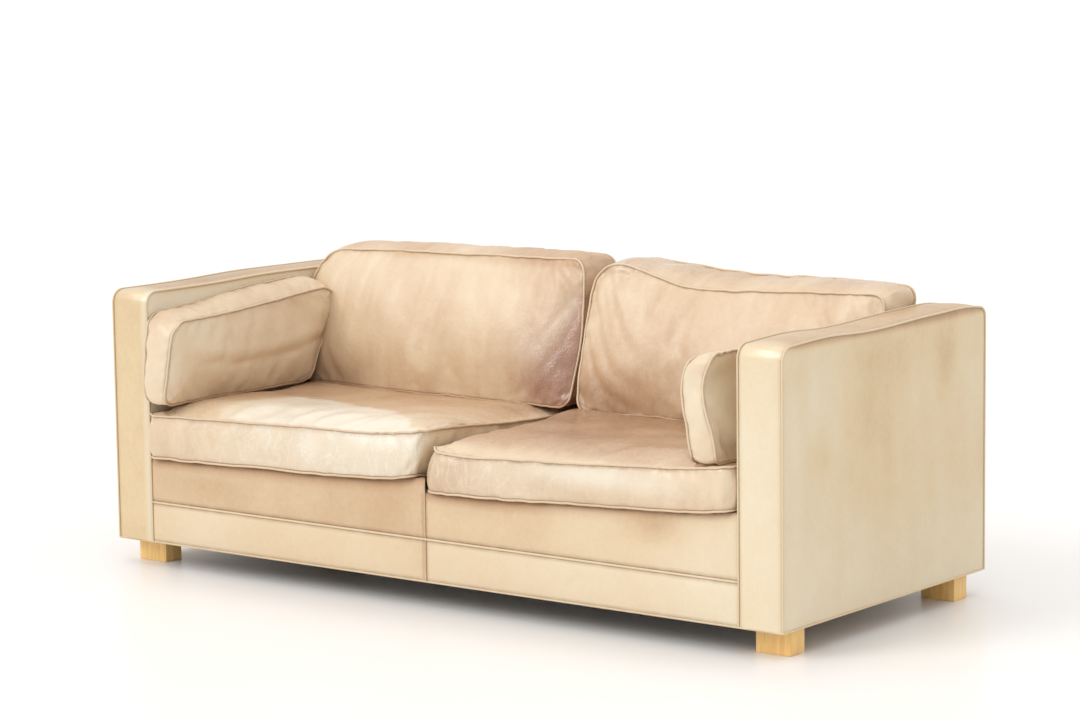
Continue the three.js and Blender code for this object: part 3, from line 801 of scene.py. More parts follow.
for i, half in enumerate(("left", "right")):
    node_name = f"back_outer_leather_{half}"
    points, faces, size, low, high = padded_panel(node_name, 3.5 * MM, 1, 50 + i)
    fields = {"tan": 0.30 + 0.07 * ripple(points, 0.3, 70 + i), "gloss": 0.1}
    new_piece(f"back_outer_panel_{half}", points, faces, back_hide, [node_name], fields,
              subdivide=1)

# %% [markdown]
# Straight pipings close the joints: along the level seam, down the middle of the front and of the back, and
# round the bottom edges.

# %% Straight seams
def straight(start, end, outward, step=0.02):
    """A straight path between two points, with one outward direction all along."""
    start, end = np.array(start, float), np.array(end, float)
    count = max(2, int(np.linalg.norm(end - start) / step))
    t = np.linspace(0, 1, count)[:, None]
    return start + (end - start) * t, np.tile(np.array(outward, float), (count, 1))


front_low, front_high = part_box("front_lower_leather_left")
front_y = front_low[1]
seam_z = front_high[2]
inner_x = -front_low[0]
outer_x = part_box("arm_right_outer_leather")[1][0]
bottom_z = front_low[2]


def along_x(reach, y, z, outward):
    """A straight path along X that goes as far to both sides."""
    return straight((-reach, y, z), (reach, y, z), outward)


def upright(x, y, bottom, top, outward, step=0.02):
    """A straight path up from one height to another."""
    return straight((x, y, bottom), (x, y, top), outward, step)


cord_piece("front_level_piping", [along_x(inner_x, front_y - MM, seam_z, (0, -1, 0))],
           PIPING_RADIUS, front_hide, closed=False, fields={"tan": 0.32})
cord_piece("front_middle_piping", [upright(0, front_y - 0.5 * MM, bottom_z, 0.262, (0, -1, 0))],
           1.5 * MM, front_hide, closed=False, fields={"tan": 0.55})
STITCH_PITCH, STITCH_LENGTH, STITCH_OFFSET = 6.5 * MM, 4.5 * MM, 6 * MM
rows = np.arange(bottom_z + 0.01, 0.243, STITCH_PITCH)
stitches = [upright(x, front_y - 3.2 * MM, z, z + STITCH_LENGTH, (0, -1, 0), step=0.0015)
            for z in rows for x in (-STITCH_OFFSET, STITCH_OFFSET)]
cord_piece("front_middle_stitches", stitches, 0.55 * MM, front_hide, closed=False,
           fields={"tan": 0.62})
back_y, back_top_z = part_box("back_outer_leather_left")[1][1:]
back_seams = [upright(0, back_y + 0.5 * MM, bottom_z, back_top_z - 2 * MM, (0, 1, 0)),
              along_x(inner_x, back_y, bottom_z + MM, (0, 1, -1))]
cord_piece("back_outer_piping", back_seams, 1.8 * MM, back_hide, closed=False,
           fields={"tan": 0.5})
for side, sign in (("left", -1), ("right", 1)):
    low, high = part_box(f"arm_{side}_strip_leather")
    half_x, half_y = (outer_x - abs(sign * inner_x)) / 2, (high[1] - low[1]) / 2
    t = np.linspace(-1, 1, 41)[:-1]
    edge_u = np.concatenate([t, np.ones(40), -t, -np.ones(40)])
    edge_v = np.concatenate([-np.ones(40), t, np.ones(40), -t])
    u, v = rounded(edge_u * half_x, edge_v * half_y, half_x, half_y, 4 * MM)
    middle_x, middle_y = sign * (outer_x + inner_x) / 2, (low[1] + high[1]) / 2
    ring = np.stack([middle_x + u, v + middle_y, np.full(160, bottom_z + MM)], 1)
    on_u, on_v = np.abs(edge_u) > 0.98, np.abs(edge_v) > 0.98
    out = np.stack([on_u * edge_u, on_v * edge_v, np.full(160, -0.6)], 1)
    cord_piece(f"arm_{side}_bottom_piping", [(ring, out)], 2 * MM, arm_hide,
               fields={"tan": 0.30 + 0.1 * (side == "left")})
cord_piece("bottom_front_piping", [along_x(outer_x - 0.004, front_y + MM, bottom_z + MM, (0, -1, -1))],
           PIPING_RADIUS, front_hide, closed=False, fields={"tan": 0.34, "dirt_and_shade": 0.1})

# %% [markdown]
# The inside of the back goes up behind the cushions and over the top rail as one padded piece.

# %% Inside of the back
low, high = (np.array(c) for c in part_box("back_inner_leather"))
half = (high - low) / 2
grid, faces = block_skin(spaced(2 * half[0], 0.02, 0.7), spaced(2 * half[1], 0.010),
                         spaced(2 * half[2], 0.014), left_open=[(2, 0), (1, -1)])
u, v, w = grid.T
y, z = rounded(v * half[1], w * half[2], half[1], half[2], np.where(v < 0, 0.012, 0.004))
ends = puff((1 - np.abs(u)) * half[0], 0.03)
y = y - 5 * MM * ends * (v == -1) * puff(half[2] - z, 0.03)
z = z + 4 * MM * ends * (w == 1) * puff(half[1] - np.abs(y), 0.02)
points = np.stack([u * half[0], y, z], axis=1) + (low + high) / 2
points += normals_of(points, faces) * (ends * 0.8 * MM * ripple(points, 0.12, 77))[:, None]
new_piece("back_inner_cover", points, faces, back_hide, ["back_inner_leather"],
          {"tan": 0.30 + 0.06 * ripple(points, 0.3, 78)}, subdivide=1, wall=LEATHER_WALL)
top_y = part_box("back_outer_leather_left")[1][1]
cord_piece("back_top_piping", [along_x(inner_x, top_y - MM, high[2] - MM, (0, 1, 1))], PIPING_RADIUS,
           back_hide, closed=False, fields={"tan": 0.25})

# %% [markdown]
# ## Loose cushions
#
# A cushion is two panels and a band between them. On the real one each seam was sewn straight, and years
# of sitting have lifted and dropped it. So a cushion starts as a block whose seams follow a few heights
# read along them, and its panels are slightly domed. Then it is blown up as cloth: the seams are held,
# the leather between them is a little larger than the hole that it fills, and air pressure pushes it out.
# That gives the puckers beside the seams, which no formula does as well.

# %% Cloth
def blown_up(points, faces, held, slack, pressure, cap, frames=18, stiff=18.0, bend=0.4):
    """The points of a skin after a short cloth simulation under pressure. The held points stay. No point
    moves further than about the cap: a move m becomes cap * tanh(m / cap)."""
    mesh = bpy.data.meshes.new("skin")
    mesh.from_pydata(points.tolist(), [], faces.tolist())
    skin = bpy.data.objects.new("skin", mesh)
    scene.collection.objects.link(skin)
    skin.vertex_groups.new(name="held").add(held.tolist(), 1.0, "REPLACE")
    cloth = skin.modifiers.new("cloth", "CLOTH")
    cloth.point_cache.frame_end = frames
    settings = cloth.settings
    settings.quality = 5
    settings.mass = 0.3
    settings.vertex_group_mass = "held"
    settings.tension_stiffness = settings.compression_stiffness = stiff
    settings.shear_stiffness = stiff / 2
    settings.bending_stiffness = bend
    settings.air_damping = 3.0
    settings.shrink_min = -slack
    settings.use_pressure = True
    settings.uniform_pressure_force = pressure
    settings.effector_weights.gravity = 0
    cloth.collision_settings.use_collision = False
    for step in range(1, frames + 1):
        scene.frame_set(step)
    result = skin.evaluated_get(bpy.context.evaluated_depsgraph_get()).data
    moved = np.empty(len(points) * 3)
    result.vertices.foreach_get("co", moved)
    move = moved.reshape(-1, 3) - points
    bpy.data.objects.remove(skin)
    bpy.data.meshes.remove(mesh)
    scene.frame_set(1)
    length = np.maximum(np.linalg.norm(move, axis=1, keepdims=True), 1e-9)
    print(f"  cloth: {len(points)} points, largest move {1000 * length.max():.1f} mm")
    return points + move * (cap * np.tanh(length / cap) / length)


def blend(a, b, t):
    """From a, where t is 0, to b, where t is 1."""
    return a + (b - a) * t


# %% Cushion block
def cushion_block(half_p, half_q, thickness, corners, bulge=7 * MM, step=9.5 * MM):
    """A cushion's grid before it has its place: its grid values and faces, its plan values P and Q, and
    how far each point is from the nearest edge. corners gives the corner radii at (-P, -Q), (P, -Q),
    (P, Q) and (-P, Q), and between the seams the band stands out by bulge * (1 - w^2)."""
    grid, faces = block_skin(spaced(2 * half_p, step, 0.70), spaced(2 * half_q, step, 0.70),
                             spaced(thickness, step * 1.1, 0.60))
    u, v, w = grid.T
    first, second, third, fourth = corners
    radius = np.where(v < 0, np.where(u < 0, first, second), np.where(u < 0, fourth, third))
    out = bulge * (1 - w ** 2)
    p, q = rounded(u * (half_p + out), v * (half_q + out), half_p + out, half_q + out, radius)
    edge = np.minimum(half_p - np.abs(p), half_q - np.abs(q))
    return grid, faces, p / half_p, q / half_q, np.maximum(edge, 0)


def finish_cushion(name, node_name, material, grid, faces, points, fields, tan, slack=0.02,
                   pressure=3.0, cap=0.02, seam_wave=1.0, folds=None, lying=False, lowest=0.0, ceiling=None):
    """Blows the cushion up, presses its folds in, and makes its two pieces: the skin and its piping.
    folds(points) gives how far each point moves along its normal afterwards. A lying cushion's bottom
    panel is held. Nothing goes below lowest, and ceiling(x, y) is the height of what lies on it."""
    w = grid[:, 2]
    rim = (np.abs(w) == 1) & (np.maximum(np.abs(grid[:, 0]), np.abs(grid[:, 1])) > 1 - 1e-9)
    normals = normals_of(points, faces)
    wave = seam_wave * MM * (ripple(points, 0.075, 11) + 0.5 * ripple(points, 0.03, 12))
    points = points + normals * (wave * np.where(rim, 1.0, 0.6))[:, None]
    held = rim | (lying & (w == -1))
    points = blown_up(points, faces, np.flatnonzero(held), slack, pressure, cap)
    normals = normals_of(points, faces)
    if folds is not None:
        points = points + normals * (np.where(rim, 0.3, 1.0) * folds(points))[:, None]
        normals = normals_of(points, faces)
    points[:, 2] = np.maximum(points[:, 2], lowest)
    if ceiling is not None:
        points[:, 2] = np.minimum(points[:, 2], ceiling(points[:, 0], points[:, 1]))
    seams = [seam_loop(grid, points, normals, 2, end) for end in (-1, 1)]
    field = fields(points)
    # Beside the seams the leather darkens: partly dirt, partly painted shade.
    field["dirt_and_shade"] = SEAM_DIRT_AND_SHADE * nearness(points, [s[0] for s in seams], DIRT_AND_SHADE_REACH)
    cushion = new_piece(name, points, faces, material, [node_name], field, subdivide=1)
    # The piping of an upright cushion is darker along its bottom, where it rests on the seat.
    darker_at_bottom = 0.0 if lying else 0.42
    cord_piece(f"{name}_piping", seams, PIPING_RADIUS, material, fields={
        "tan": lambda cord: tan + darker_at_bottom * ramp(cord[:, 2], lowest + 0.022, lowest + 0.006)})
    print(name, "box", np.round(points.min(0), 3), np.round(points.max(0), 3))


# %% [markdown]
# ### Seat cushions
#
# The front seams wander: on both cushions they rise towards the right. The bottom panel rests flat on the
# deck. The top panel is domed, with a shallow dip where people sit.

# %% Seat cushions
SEAT_FRONT, SEAT_BACK, DECK = -0.391, 0.298, 0.2450
SEATS = {
    "left": dict(
        ends=(-0.7895, -0.027), lean=(0.0, 0.029), corners=(0.024, 0.022, 0.03, 0.03),
        top=through((-0.79, 0.345), (-0.617, 0.352), (-0.486, 0.355), (-0.315, 0.361), (-0.149, 0.364),
                    (0, 0.377))),
    "right": dict(
        ends=(0.000, 0.786), lean=(0.020, 0.0), corners=(0.046, 0.030, 0.03, 0.03),
        top=through((0, 0.342), (0.09, 0.336), (0.245, 0.342), (0.372, 0.347), (0.542, 0.357),
                    (0.70, 0.366), (0.80, 0.376))),
}


def seat_shape(side, P, Q, w, edge):
    """Places a seat cushion's points. Along X the seams follow their heights at the front and level out
    towards the back, and the top panel rises from them by crown * puff(edge) less a dip."""
    seat = SEATS[side]
    x = blend(*seat["ends"], (P + 1) / 2)
    back = np.clip((Q + 1) / 2, 0, 1)
    y = blend(SEAT_FRONT, SEAT_BACK, (Q + 1) / 2) + 4 * MM * (1 - P ** 2) * (Q < 0) * np.abs(Q) ** 8
    lean = blend(seat["lean"][0] * ramp(P, -0.8, -1), seat["lean"][1] * ramp(P, 0.8, 1), P > 0)
    x = x + lean * (w + 1) / 2 * ramp(back, 0.8, 0)
    top = blend(seat["top"](x), 0.347, ramp(back, 0, 0.75))
    bottom = blend(SEAT_FOOT[side](x), 0.256, ramp(back, 0.03, 0.2))
    z = blend(bottom, top, (w + 1) / 2)
    full = puff(edge, 0.028)
    dip = spot(np.stack([x, y, z], 1), (np.mean(seat["ends"]), 0.02, 0.36), (0.24, 0.20, 1))
    z = z + np.where(w == 1, 0.019 * full - 0.012 * dip, 0)
    z = np.where(w == -1, blend(bottom, DECK + 1.2 * MM, puff(edge, 0.012) * ramp(y, -0.360, -0.300)), z)
    return np.stack([x, y, z], axis=1)


BLEACHED_EDGE = through((-0.66, -0.28), (-0.62, -0.17), (-0.503, -0.142), (-0.365, -0.182),
                        (-0.218, -0.236), (-0.089, -0.321), (-0.025, -0.349), (0, -0.36))
SEAT_CREASES = (
    through((0.27, -0.458), (0.305, -0.466), (0.335, -0.462), (0.36, -0.446)),
    through((0.27, -0.425), (0.305, -0.412), (0.335, -0.414), (0.36, -0.428)),
    through((0.27, -0.300), (0.305, -0.322), (0.335, -0.322), (0.36, -0.306)),
    through((0.27, -0.236), (0.305, -0.248), (0.335, -0.240), (0.36, -0.220)),
)

SEAT_SCUFFS = (
    (1.0, (-0.435, -0.392, 0.33), (0.016, 0.02, 0.02)),
    (1.0, (-0.305, -0.392, 0.32), (0.03, 0.02, 0.02)),
    (1.0, (-0.12, -0.392, 0.35), (0.05, 0.02, 0.009)),
)


def seat_fields(side):
    """The seat's colours: tan where it is sat on, a bleached area near the front of the left one, and a
    painted highlight on the front of the right one, which is also glossier there."""
    def fields(points):
        x, y, z = points.T
        on_top = ramp(z, 0.345, 0.362) * ramp(y, -0.395, -0.37)
        on_front = ramp(y, -0.370, -0.388)
        wander = ripple(points * (1, 1, 0), 0.07, 21) * 0.010 + ripple(points * (1, 1, 0), 0.02, 22) * 0.004
        if side == "left":
            pale = ramp(y + wander, BLEACHED_EDGE(x) + 0.006, BLEACHED_EDGE(x) - 0.008) * on_top
            pale *= ramp(x + wander, -0.61, -0.54)
            pale = 0.74 * pale + on_front * (0.06 + 0.56 * ramp(x, -0.50, -0.08))
            tan = 0.32 + 0.28 * on_top * ramp(y, -0.36, -0.2) + 0.06 * ripple(points, 0.15, 23)
            tan += 0.12 * on_front * ramp(x, -0.5, -0.75)
            tan += 0.16 * on_top * ramp(x, -0.56, -0.64)
            tan += 0.15 * on_top * spot(points, (-0.35, 0.05, 0.36), (0.3, 0.10, 1))
            creases = sum(np.exp(-((x - line(z)) / 0.0028) ** 2) for line in SEAT_CREASES)
            pale += 0.45 * on_front * creases
            pale += 0.6 * spots(points, SEAT_SCUFFS)
            return {"tan": np.clip(tan, 0, 1), "pale": np.clip(pale, 0, 1),
                    "gloss": 0.5 * (on_top + on_front),
                    "crinkle": 0.35 * on_top + on_front * ramp(x, -0.78, -0.5)}
        tan = 0.40 + 0.53 * on_top * ramp(y, -0.47, -0.25) + 0.06 * ripple(points, 0.15, 24)
        tan += 0.20 * on_top * ramp(y, -0.10, 0.06) + 0.20 * on_front * ramp(x, 0.26, 0.02)
        # Painted highlight: a broad sheen on the right seat's front band is painted pale; its gloss is raised
        # too.
        shine = on_front * spot(points, (0.47, -0.39, 0.326), (0.13, 1, 0.017))
        return {"tan": np.clip(tan, 0, 1), "pale": 0.12 * on_front * ramp(x, 0.75, 0.1) + 0.75 * shine,
                "gloss": 0.6 * on_top + 0.7 * on_front + 0.5 * shine,
                "crinkle": 0.35 * on_top + on_front * (0.25 + 0.6 * ramp(x, 0.45, 0.1))}
    return fields


def seat_folds(side):
    """Low folds across the seat's top, and creases that run up and down its front band."""
    def folds(points):
        x, y, z = points.T
        on_top = ramp(z, 0.345, 0.362)
        on_front = ramp(y, -0.375, -0.39)
        soft = 1.8 * MM * ripple(points * (0.55, 1.0, 1.0), 0.13, 25 + (side == "left")) * on_top
        fine = 1.1 * MM * ripple(points * (1.0, 0.5, 0.5), 0.045, 27) * on_top * ramp(y, -0.15, -0.39)
        band = 1.2 * MM * ripple(points * (1.0, 1.0, 0.35), 0.05, 28) * on_front
        if side == "left":
            for line in SEAT_CREASES:
                band -= 1.3 * MM * np.exp(-((x - line(z)) / 0.0042) ** 2) * on_front
        band -= 2.2 * MM * np.exp(-(ripple(points * (1.0, 1.0, 0.30), 0.10, 26) / 0.35) ** 2) * on_front
        return soft + fine + band
    return folds


def seat_ceiling(x, y):
    """What lies on the seat holds it down: the pillows at both ends and the back cushions behind."""
    slope = 0.6
    under_left = 0.3730 + slope * np.maximum(0, x + 0.712)
    under_right = 0.3745 + slope * np.maximum(0, 0.672 - x)
    under_back = 0.3660 + slope * np.maximum(0, 0.085 - y)
    return np.minimum(np.minimum(under_left, under_right), under_back)


for side in ("left", "right"):
    seat = SEATS[side]
    half_x = (seat["ends"][1] - seat["ends"][0]) / 2
    grid, faces, P, Q, edge = cushion_block(half_x, (SEAT_BACK - SEAT_FRONT) / 2, 0.095, seat["corners"],
                                            bulge=6 * MM)
    points = seat_shape(side, P, Q, grid[:, 2], edge)
    finish_cushion(f"seat_{side}", f"seat_cushion_{side}", seat_hide, grid, faces, points,
                   seat_fields(side), tan=0.42, slack=0.022, pressure=2.0, cap=0.012,
                   seam_wave=0.5, folds=seat_folds(side), lying=True, lowest=DECK + MM, ceiling=seat_ceiling)

# %% [markdown]
# ### Back cushions
#
# The back cushions lean against the back. Their outer top corners have rounded off, the right one's top
# seam rises and falls, and the folds on them run mostly up and down from where they are leant on.

# %% Back cushions
BACKS = {
    "left": dict(
        left=through((0, -0.786), (0.7, -0.784), (1, -0.770)),
        right=through((0, 0.020), (0.5, 0.026), (1, 0.002)),
        top=through((-0.79, 0.668), (-0.6, 0.674), (-0.3, 0.680), (0, 0.684)),
        rear_top=through((-0.79, 0.668), (-0.6, 0.680), (-0.3, 0.684), (0, 0.684)),
        foot=through((-0.79, 0.122), (-0.70, 0.116), (-0.5, 0.100), (-0.2, 0.096), (0.02, 0.098)),
        corners=(0.035, 0.080, 0.030, 0.028)),
    "right": dict(
        left=through((0, 0.062), (0.4, 0.050), (1, 0.034)), right=through((0, 0.783), (1, 0.784)),
        top=through((0.0, 0.650), (0.043, 0.668), (0.098, 0.679), (0.193, 0.661), (0.259, 0.643),
                    (0.352, 0.639), (0.507, 0.645), (0.658, 0.651), (0.79, 0.654)),
        rear_top=through((0.0, 0.650), (0.07, 0.675), (0.2, 0.676), (0.35, 0.664), (0.6, 0.666),
                         (0.79, 0.662)),
        foot=through((0.05, 0.072), (0.12, 0.080), (0.32, 0.098), (0.79, 0.112)),
        corners=(0.03, 0.045, 0.032, 0.032)),
}
BACK_LIFT = 0.3675


def back_shape(side, P, Q, w, edge):
    """Places a back cushion's points: P goes up it, Q along it and w from its front panel to its rear
    one. The front panel leans back and bellies forward, most of all below its middle."""
    back = BACKS[side]
    s = (P + 1) / 2
    up = np.clip(s, 0, 1)
    x = blend(back["left"](up), back["right"](up), (Q + 1) / 2)
    front_y = blend(back["foot"](x), 0.188, s)
    rear_y = blend(0.240, 0.306, s)
    front_z = blend(BACK_LIFT, back["top"](x), s)
    rear_z = blend(BACK_LIFT, back["rear_top"](x), s)
    t = (w + 1) / 2
    full = puff(edge, 0.05)
    ends = puff(np.minimum(x - back["left"](up), back["right"](up) - x), 0.09)
    belly = np.where(w == -1, 0.036 * full * ends * (1 - 0.45 * up ** 2), 0)
    flat = np.where(w == 1, 0.008 * full, 0)
    y = blend(front_y, rear_y, t) - 0.958 * belly + 0.97 * flat
    z = blend(front_z, rear_z, t) + 0.286 * belly * up - 0.22 * flat
    z = np.where(s < 0, BACK_LIFT + 0.25 * (z - BACK_LIFT), z)
    return np.stack([x, y, z], axis=1)


BACK_STAIN = (
    (1.0, (0.005, 0.10, 0.43), (0.045, 1, 0.07)),
    (0.8, (-0.035, 0.10, 0.40), (0.05, 1, 0.03)),
    (0.6, (0.020, 0.10, 0.55), (0.02, 1, 0.07)),
    (0.35, (-0.045, 0.10, 0.49), (0.05, 1, 0.08)),
)
# Painted highlights: two small glints on the left back cushion, painted pale.
BACK_GLINTS = (
    (1.0, (-0.005, 0.10, 0.565), (0.012, 1, 0.03)),
    (1.0, (-0.09, 0.1, 0.49), (0.03, 1, 0.02)),
)


def back_fields(side):
    """The back cushions' colours: darker low down, lighter on top, a glossy brown-pink stain at the lower
    right of the left one, and two painted highlights near that stain."""
    def fields(points):
        x, y, z = points.T
        low_down = ramp(z, 0.56, 0.38)
        streaks = ripple(points * (1, 0, 0.08), 0.02, 33) * 0.035
        on_top = ramp(z, 0.655, 0.675)
        tan = 0.34 + 0.13 * low_down + streaks + 0.19 * on_top
        tan += 0.05 * ripple(points, 0.18, 34 + (side == "left"))
        if side == "left":
            tan += 0.14 * ramp(x, -0.3, 0.0)
            stain = np.clip(0.85 * spots(points, BACK_STAIN), 0, 0.9)
            # The glints are painted highlights, added to the pale colour.
            return {"tan": np.clip(tan, 0, 1), "stain": stain, "gloss": 0.15 + stain,
                    "crinkle": 0.12 + 1.1 * stain, "pale": 0.4 * spots(points, BACK_GLINTS)}
        tan += 0.10 + 0.16 * ramp(z, 0.50, 0.40)
        tan += 0.20 * spot(points, (0.10, 0.08, 0.42), (0.12, 1, 0.06))
        glossy = on_top + 0.4 * spot(points, (0.12, 0.15, 0.62), (0.08, 1, 0.03))
        return {"tan": np.clip(tan, 0, 1), "gloss": np.clip(0.15 + 0.7 * glossy, 0, 1),
                "pale": 0.10 * on_top, "crinkle": 0.2 + 0.3 * on_top}
    return fields


LEFT_BACK_CREASES = (
    through((-0.19, 0.40), (-0.10, 0.475), (-0.03, 0.565), (0.015, 0.64)),
    through((-0.15, 0.37), (-0.07, 0.425), (-0.01, 0.51), (0.02, 0.58)),
)
RIGHT_BACK_CREASES = (
    through((0.06, 0.515), (0.103, 0.445), (0.174, 0.392), (0.26, 0.36)),
    through((0.06, 0.600), (0.127, 0.486), (0.21, 0.425), (0.30, 0.39)),
    through((0.08, 0.660), (0.17, 0.53), (0.27, 0.455), (0.35, 0.42)),
)


def back_folds(side):
    """Soft folds that rise and fall on the front of a back cushion, and wrinkles across its top band."""
    def folds(points):
        x, y, z = points.T
        ahead = ramp(y - blend(0.089, 0.184, (z - 0.366) / 0.318), 0.02, -0.005)
        soft = 2.2 * MM * ripple(points * (1.0, 0.3, 0.55), 0.13, 36 + (side == "left")) * ahead
        fine = 0.6 * MM * ripple(points * (1.0, 0.3, 0.4), 0.035, 38) * ahead
        height = (0.6 if side == "left" else 1.2) * MM
        top = height * ripple(points * (1.0, 0.4, 0.4), 0.055, 39) * ramp(z, 0.645, 0.665)
        if side == "left":
            for crease in LEFT_BACK_CREASES:
                off = 0.75 * (z - crease(x))
                soft += -2.6 * MM * np.exp(-(off / 0.008) ** 2) * ramp(x, -0.19, -0.10) * ahead
        else:
            for crease in RIGHT_BACK_CREASES:
                off = 0.7 * (z - crease(x))
                fold = 2.2 * MM * np.exp(-((off - 0.018) / 0.013) ** 2)
                fold -= 3.2 * MM * np.exp(-(off / 0.008) ** 2)
                soft += fold * ramp(x, 0.27, 0.15) * ramp(x, 0.045, 0.07) * ahead
        return soft + fine + top
    return folds


for side in ("left", "right"):
    back = BACKS[side]
    half_x = (back["right"](0.5) - back["left"](0.5)) / 2
    grid, faces, P, Q, edge = cushion_block(0.160, half_x, 0.135, back["corners"])
    points = back_shape(side, P, Q, grid[:, 2], edge)
    finish_cushion(f"back_{side}", f"back_cushion_{side}", cushion_hide, grid, faces,
                   points, back_fields(side), tan=0.36, slack=0.022, pressure=2.0, cap=0.013,
                   folds=back_folds(side), lowest=BACK_LIFT - MM)

# %% [markdown]
# ### Arm pillows
#
# The pillows stand on the seat against the arms. Both have slumped: their outlines are four crooked edges.

# %% Arm pillows
PILLOWS = {
    "left": dict(
        front=through((0.37, -0.408), (0.43, -0.404), (0.49, -0.399), (0.58, -0.384)),
        far_front=through((0.37, -0.390), (0.436, -0.392), (0.505, -0.387), (0.58, -0.376)),
        rear=through((0.37, 0.080), (0.447, 0.108), (0.487, 0.126), (0.534, 0.144), (0.60, 0.152)),
        bottom=through((-0.40, 0.3755), (-0.20, 0.3745), (0.15, 0.374)),
        top=through((-0.40, 0.559), (-0.30, 0.560), (-0.116, 0.569), (0.09, 0.586), (0.16, 0.590)),
        far_top=through((-0.40, 0.570), (-0.21, 0.584), (-0.12, 0.596), (0.01, 0.605), (0.15, 0.608)),
        outer=through((0.37, -0.7905), (0.60, -0.7905)),
        inner=through((0.37, -0.722), (0.45, -0.712), (0.60, -0.706)),
        corners=(0.024, 0.035, 0.035, 0.036)),
    "right": dict(
        front=through((0.37, -0.384), (0.487, -0.391), (0.53, -0.388), (0.60, -0.374)),
        far_front=through((0.37, -0.384), (0.487, -0.391), (0.53, -0.388), (0.60, -0.374)),
        rear=through((0.37, 0.070), (0.45, 0.082), (0.60, 0.095)),
        bottom=through((-0.40, 0.3765), (0.15, 0.376)),
        top=through((-0.40, 0.578), (-0.30, 0.582), (-0.05, 0.588), (0.09, 0.592)),
        far_top=through((-0.40, 0.592), (-0.30, 0.594), (-0.05, 0.596), (0.09, 0.598)),
        outer=through((0.37, 0.7905), (0.43, 0.784), (0.487, 0.767), (0.53, 0.760), (0.59, 0.774)),
        inner=through((0.37, 0.733), (0.487, 0.712), (0.53, 0.706), (0.59, 0.722)),
        corners=(0.014, 0.030, 0.035, 0.020)),
}

# %% [markdown]
# A pillow's plan lies in Y and Z. Its front and rear edges depend on the height and its top and bottom
# edges on the depth, so a point is placed twice: first roughly, then on the edges read at that place.

# %% Pillow pieces
def pillow_shape(side, P, Q, w, edge):
    """Places a pillow's points: P goes back along it, Q up it and w across it."""
    pillow = PILLOWS[side]
    sign = 1 if side == "left" else -1
    along, up = (P + 1) / 2, (Q + 1) / 2
    rough_z = blend(0.37, 0.58, np.clip(up, 0, 1))
    inward = (sign * w + 1) / 2
    front = blend(pillow["far_front"](rough_z), pillow["front"](rough_z), inward)
    y = blend(front, pillow["rear"](rough_z), along)
    top = blend(pillow["far_top"](y), pillow["top"](y), inward)
    z = blend(pillow["bottom"](y), top, up)
    z = np.where(up < 0, pillow["bottom"](y) + 0.2 * (z - pillow["bottom"](y)), z)
    outer, inner = pillow["outer"](z), pillow["inner"](z)
    full = puff(edge, 0.03)
    x = blend(outer, inner, inward)
    x = x + sign * np.where(inward == 1, 0.020 * full * (1 - 0.25 * np.clip(up, 0, 1)), 0)
    if side == "right":
        lean, hinge = np.radians(-5), np.array([0.788, 0.089])
        dx, dy = x - hinge[0], y - hinge[1]
        x = hinge[0] + dx * np.cos(lean) - dy * np.sin(lean)
        y = hinge[1] + dx * np.sin(lean) + dy * np.cos(lean)
    return np.stack([x, y, z], axis=1)


def level_crease(y):
    """The height of the long crease along the left pillow's face."""
    return 0.458 + 0.010 * np.sin(13 * y) + 0.05 * np.maximum(y, 0)


def pillow_fields(side):
    """The pillows' colours: cream at the front, tan clouds towards the rear and the top, a darker line along
    the left one's crease that is partly dirt and partly painted shade, and painted shade on the right one's
    face against the arm.
    """
    def fields(points):
        x, y, z = points.T
        tan = 0.30 - 0.06 * ramp(y, -0.40, -0.34) + 0.05 * ramp(y, -0.30, -0.05)
        tan += 0.05 * ripple(points, 0.12, 44)
        tan += 0.14 * ramp(z, 0.54, 0.57)
        if side == "left":
            # A darker line along the left pillow's long crease: partly dirt, partly painted shade in the
            # fold.
            crease_dirt_and_shade = np.exp(-((z - level_crease(y)) / 0.006) ** 2)
            tan += 0.22 * crease_dirt_and_shade * ramp(x, -0.72, -0.70) * ramp(y, -0.36, -0.26)
        else:
            tan -= 0.04 * ramp(y, -0.34, -0.38)
            # Painted shade: the outer face, in the narrow gap against the arm, is painted darker and browner.
            tan += 0.05 * ramp(x + 0.087 * (0.089 - y), 0.745, 0.758)
        return {"tan": np.clip(tan, 0, 1), "gloss": 0.2, "crinkle": 0.2,
                "pale": 0.10 * ramp(y, -0.36, -0.395)}
    return fields


def pillow_folds(side):
    """One long level crease on the left pillow's face, and puckers across the front band."""
    def folds(points):
        x, y, z = points.T
        band = 0.5 * MM * ripple(points * (0.3, 1.0, 1.0), 0.045, 47) * ramp(y, -0.365, -0.39)
        soft = 1.8 * MM * ripple(points * (0.3, 0.6, 1.0), 0.09, 48 + (side == "left"))
        if side == "left":
            off = z - level_crease(y)
            fold = 3 * MM * np.exp(-((off - 0.022) / 0.014) ** 2) - 6 * MM * np.exp(-(off / 0.007) ** 2)
            soft += fold * ramp(x, -0.72, -0.70) * ramp(y, -0.38, -0.26)
        return band + soft
    return folds


for side in ("left", "right"):
    grid, faces, P, Q, edge = cushion_block(0.245, 0.100, 0.08, PILLOWS[side]["corners"],
                                            bulge=6 * MM, step=7.5 * MM)
    points = pillow_shape(side, P, Q, grid[:, 2], edge)
    finish_cushion(f"pillow_{side}", f"arm_pillow_{side}", pillow_hide, grid, faces,
                   points, pillow_fields(side), tan=0.32, slack=0.018, pressure=2.0, cap=0.010,
                   seam_wave=0.9, folds=pillow_folds(side), lowest=0.3742)

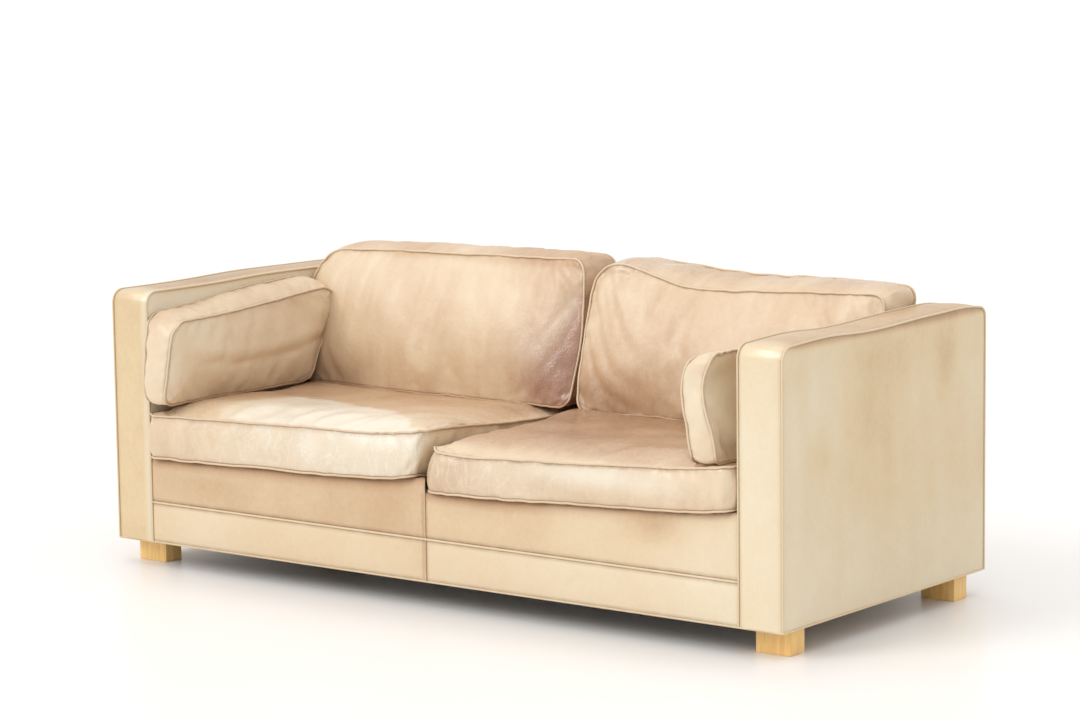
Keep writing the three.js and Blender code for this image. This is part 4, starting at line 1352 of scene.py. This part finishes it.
# %% [markdown]
# ## Floor and light
#
# The sofa stands on a plain pale floor that is big enough to have no visible end, in soft even light. A
# sun lamp of a wide angle is used for each soft box: it lights every part alike, however large the scene,
# so the floor stays even. The white world fills the shadows.

# %% Floor and light
FLOOR_HALF = 90
floor_mesh = bpy.data.meshes.new("floor")
floor_mesh.from_pydata([(-FLOOR_HALF, -FLOOR_HALF, 0), (FLOOR_HALF, -FLOOR_HALF, 0),
                        (FLOOR_HALF, FLOOR_HALF, 0), (-FLOOR_HALF, FLOOR_HALF, 0)], [], [(0, 1, 2, 3)])
floor = bpy.data.objects.new("floor", floor_mesh)
scene.collection.objects.link(floor)
floor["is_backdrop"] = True
floor_paint, _, floor_shader = new_material("floor_paint", 0.30)
floor_shader.inputs["Base Color"].default_value = (0.89, 0.87, 0.85, 1)
floor_shader.inputs["Specular IOR Level"].default_value = 0.25
floor_mesh.materials.append(floor_paint)

world = bpy.data.worlds.new("studio")
scene.world = world
world.use_nodes = True
world.node_tree.nodes["Background"].inputs["Color"].default_value = (1, 1, 1, 1)
world.node_tree.nodes["Background"].inputs["Strength"].default_value = 0.87


def broad_light(name, towards, power, spread):
    """A sun lamp of a wide angle, which works as an even soft box of any size. It shines towards a
    direction, and spread is its angle in degrees: the wider, the softer the shadows."""
    light = bpy.data.lights.new(name, "SUN")
    light.energy = power
    light.angle = np.radians(spread)
    lamp = bpy.data.objects.new(name, light)
    scene.collection.objects.link(lamp)
    back = -np.array(towards, float)
    back /= np.linalg.norm(back)
    side = np.cross((0, 1, 0.2), back)
    side /= np.linalg.norm(side)
    axes = np.stack([side, np.cross(back, side), back], axis=1)
    turn = np.eye(4)
    turn[:3, :3] = axes
    lamp.matrix_world = Matrix(turn.tolist())
    print("light", name, "power", power, "spread", spread, "degrees")


broad_light("key", (0.45, 0.80, -0.64), 0.98, 26)
broad_light("overhead", (0.05, 0.1, -1.0), 0.80, 75)
scene.view_settings.view_transform = "Standard"

# %% [markdown]
# ## Finish
#
# The box that the finished look fills is printed.

# %% Finish
low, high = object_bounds()
print("finished box", np.round(low, 4), np.round(high, 4))
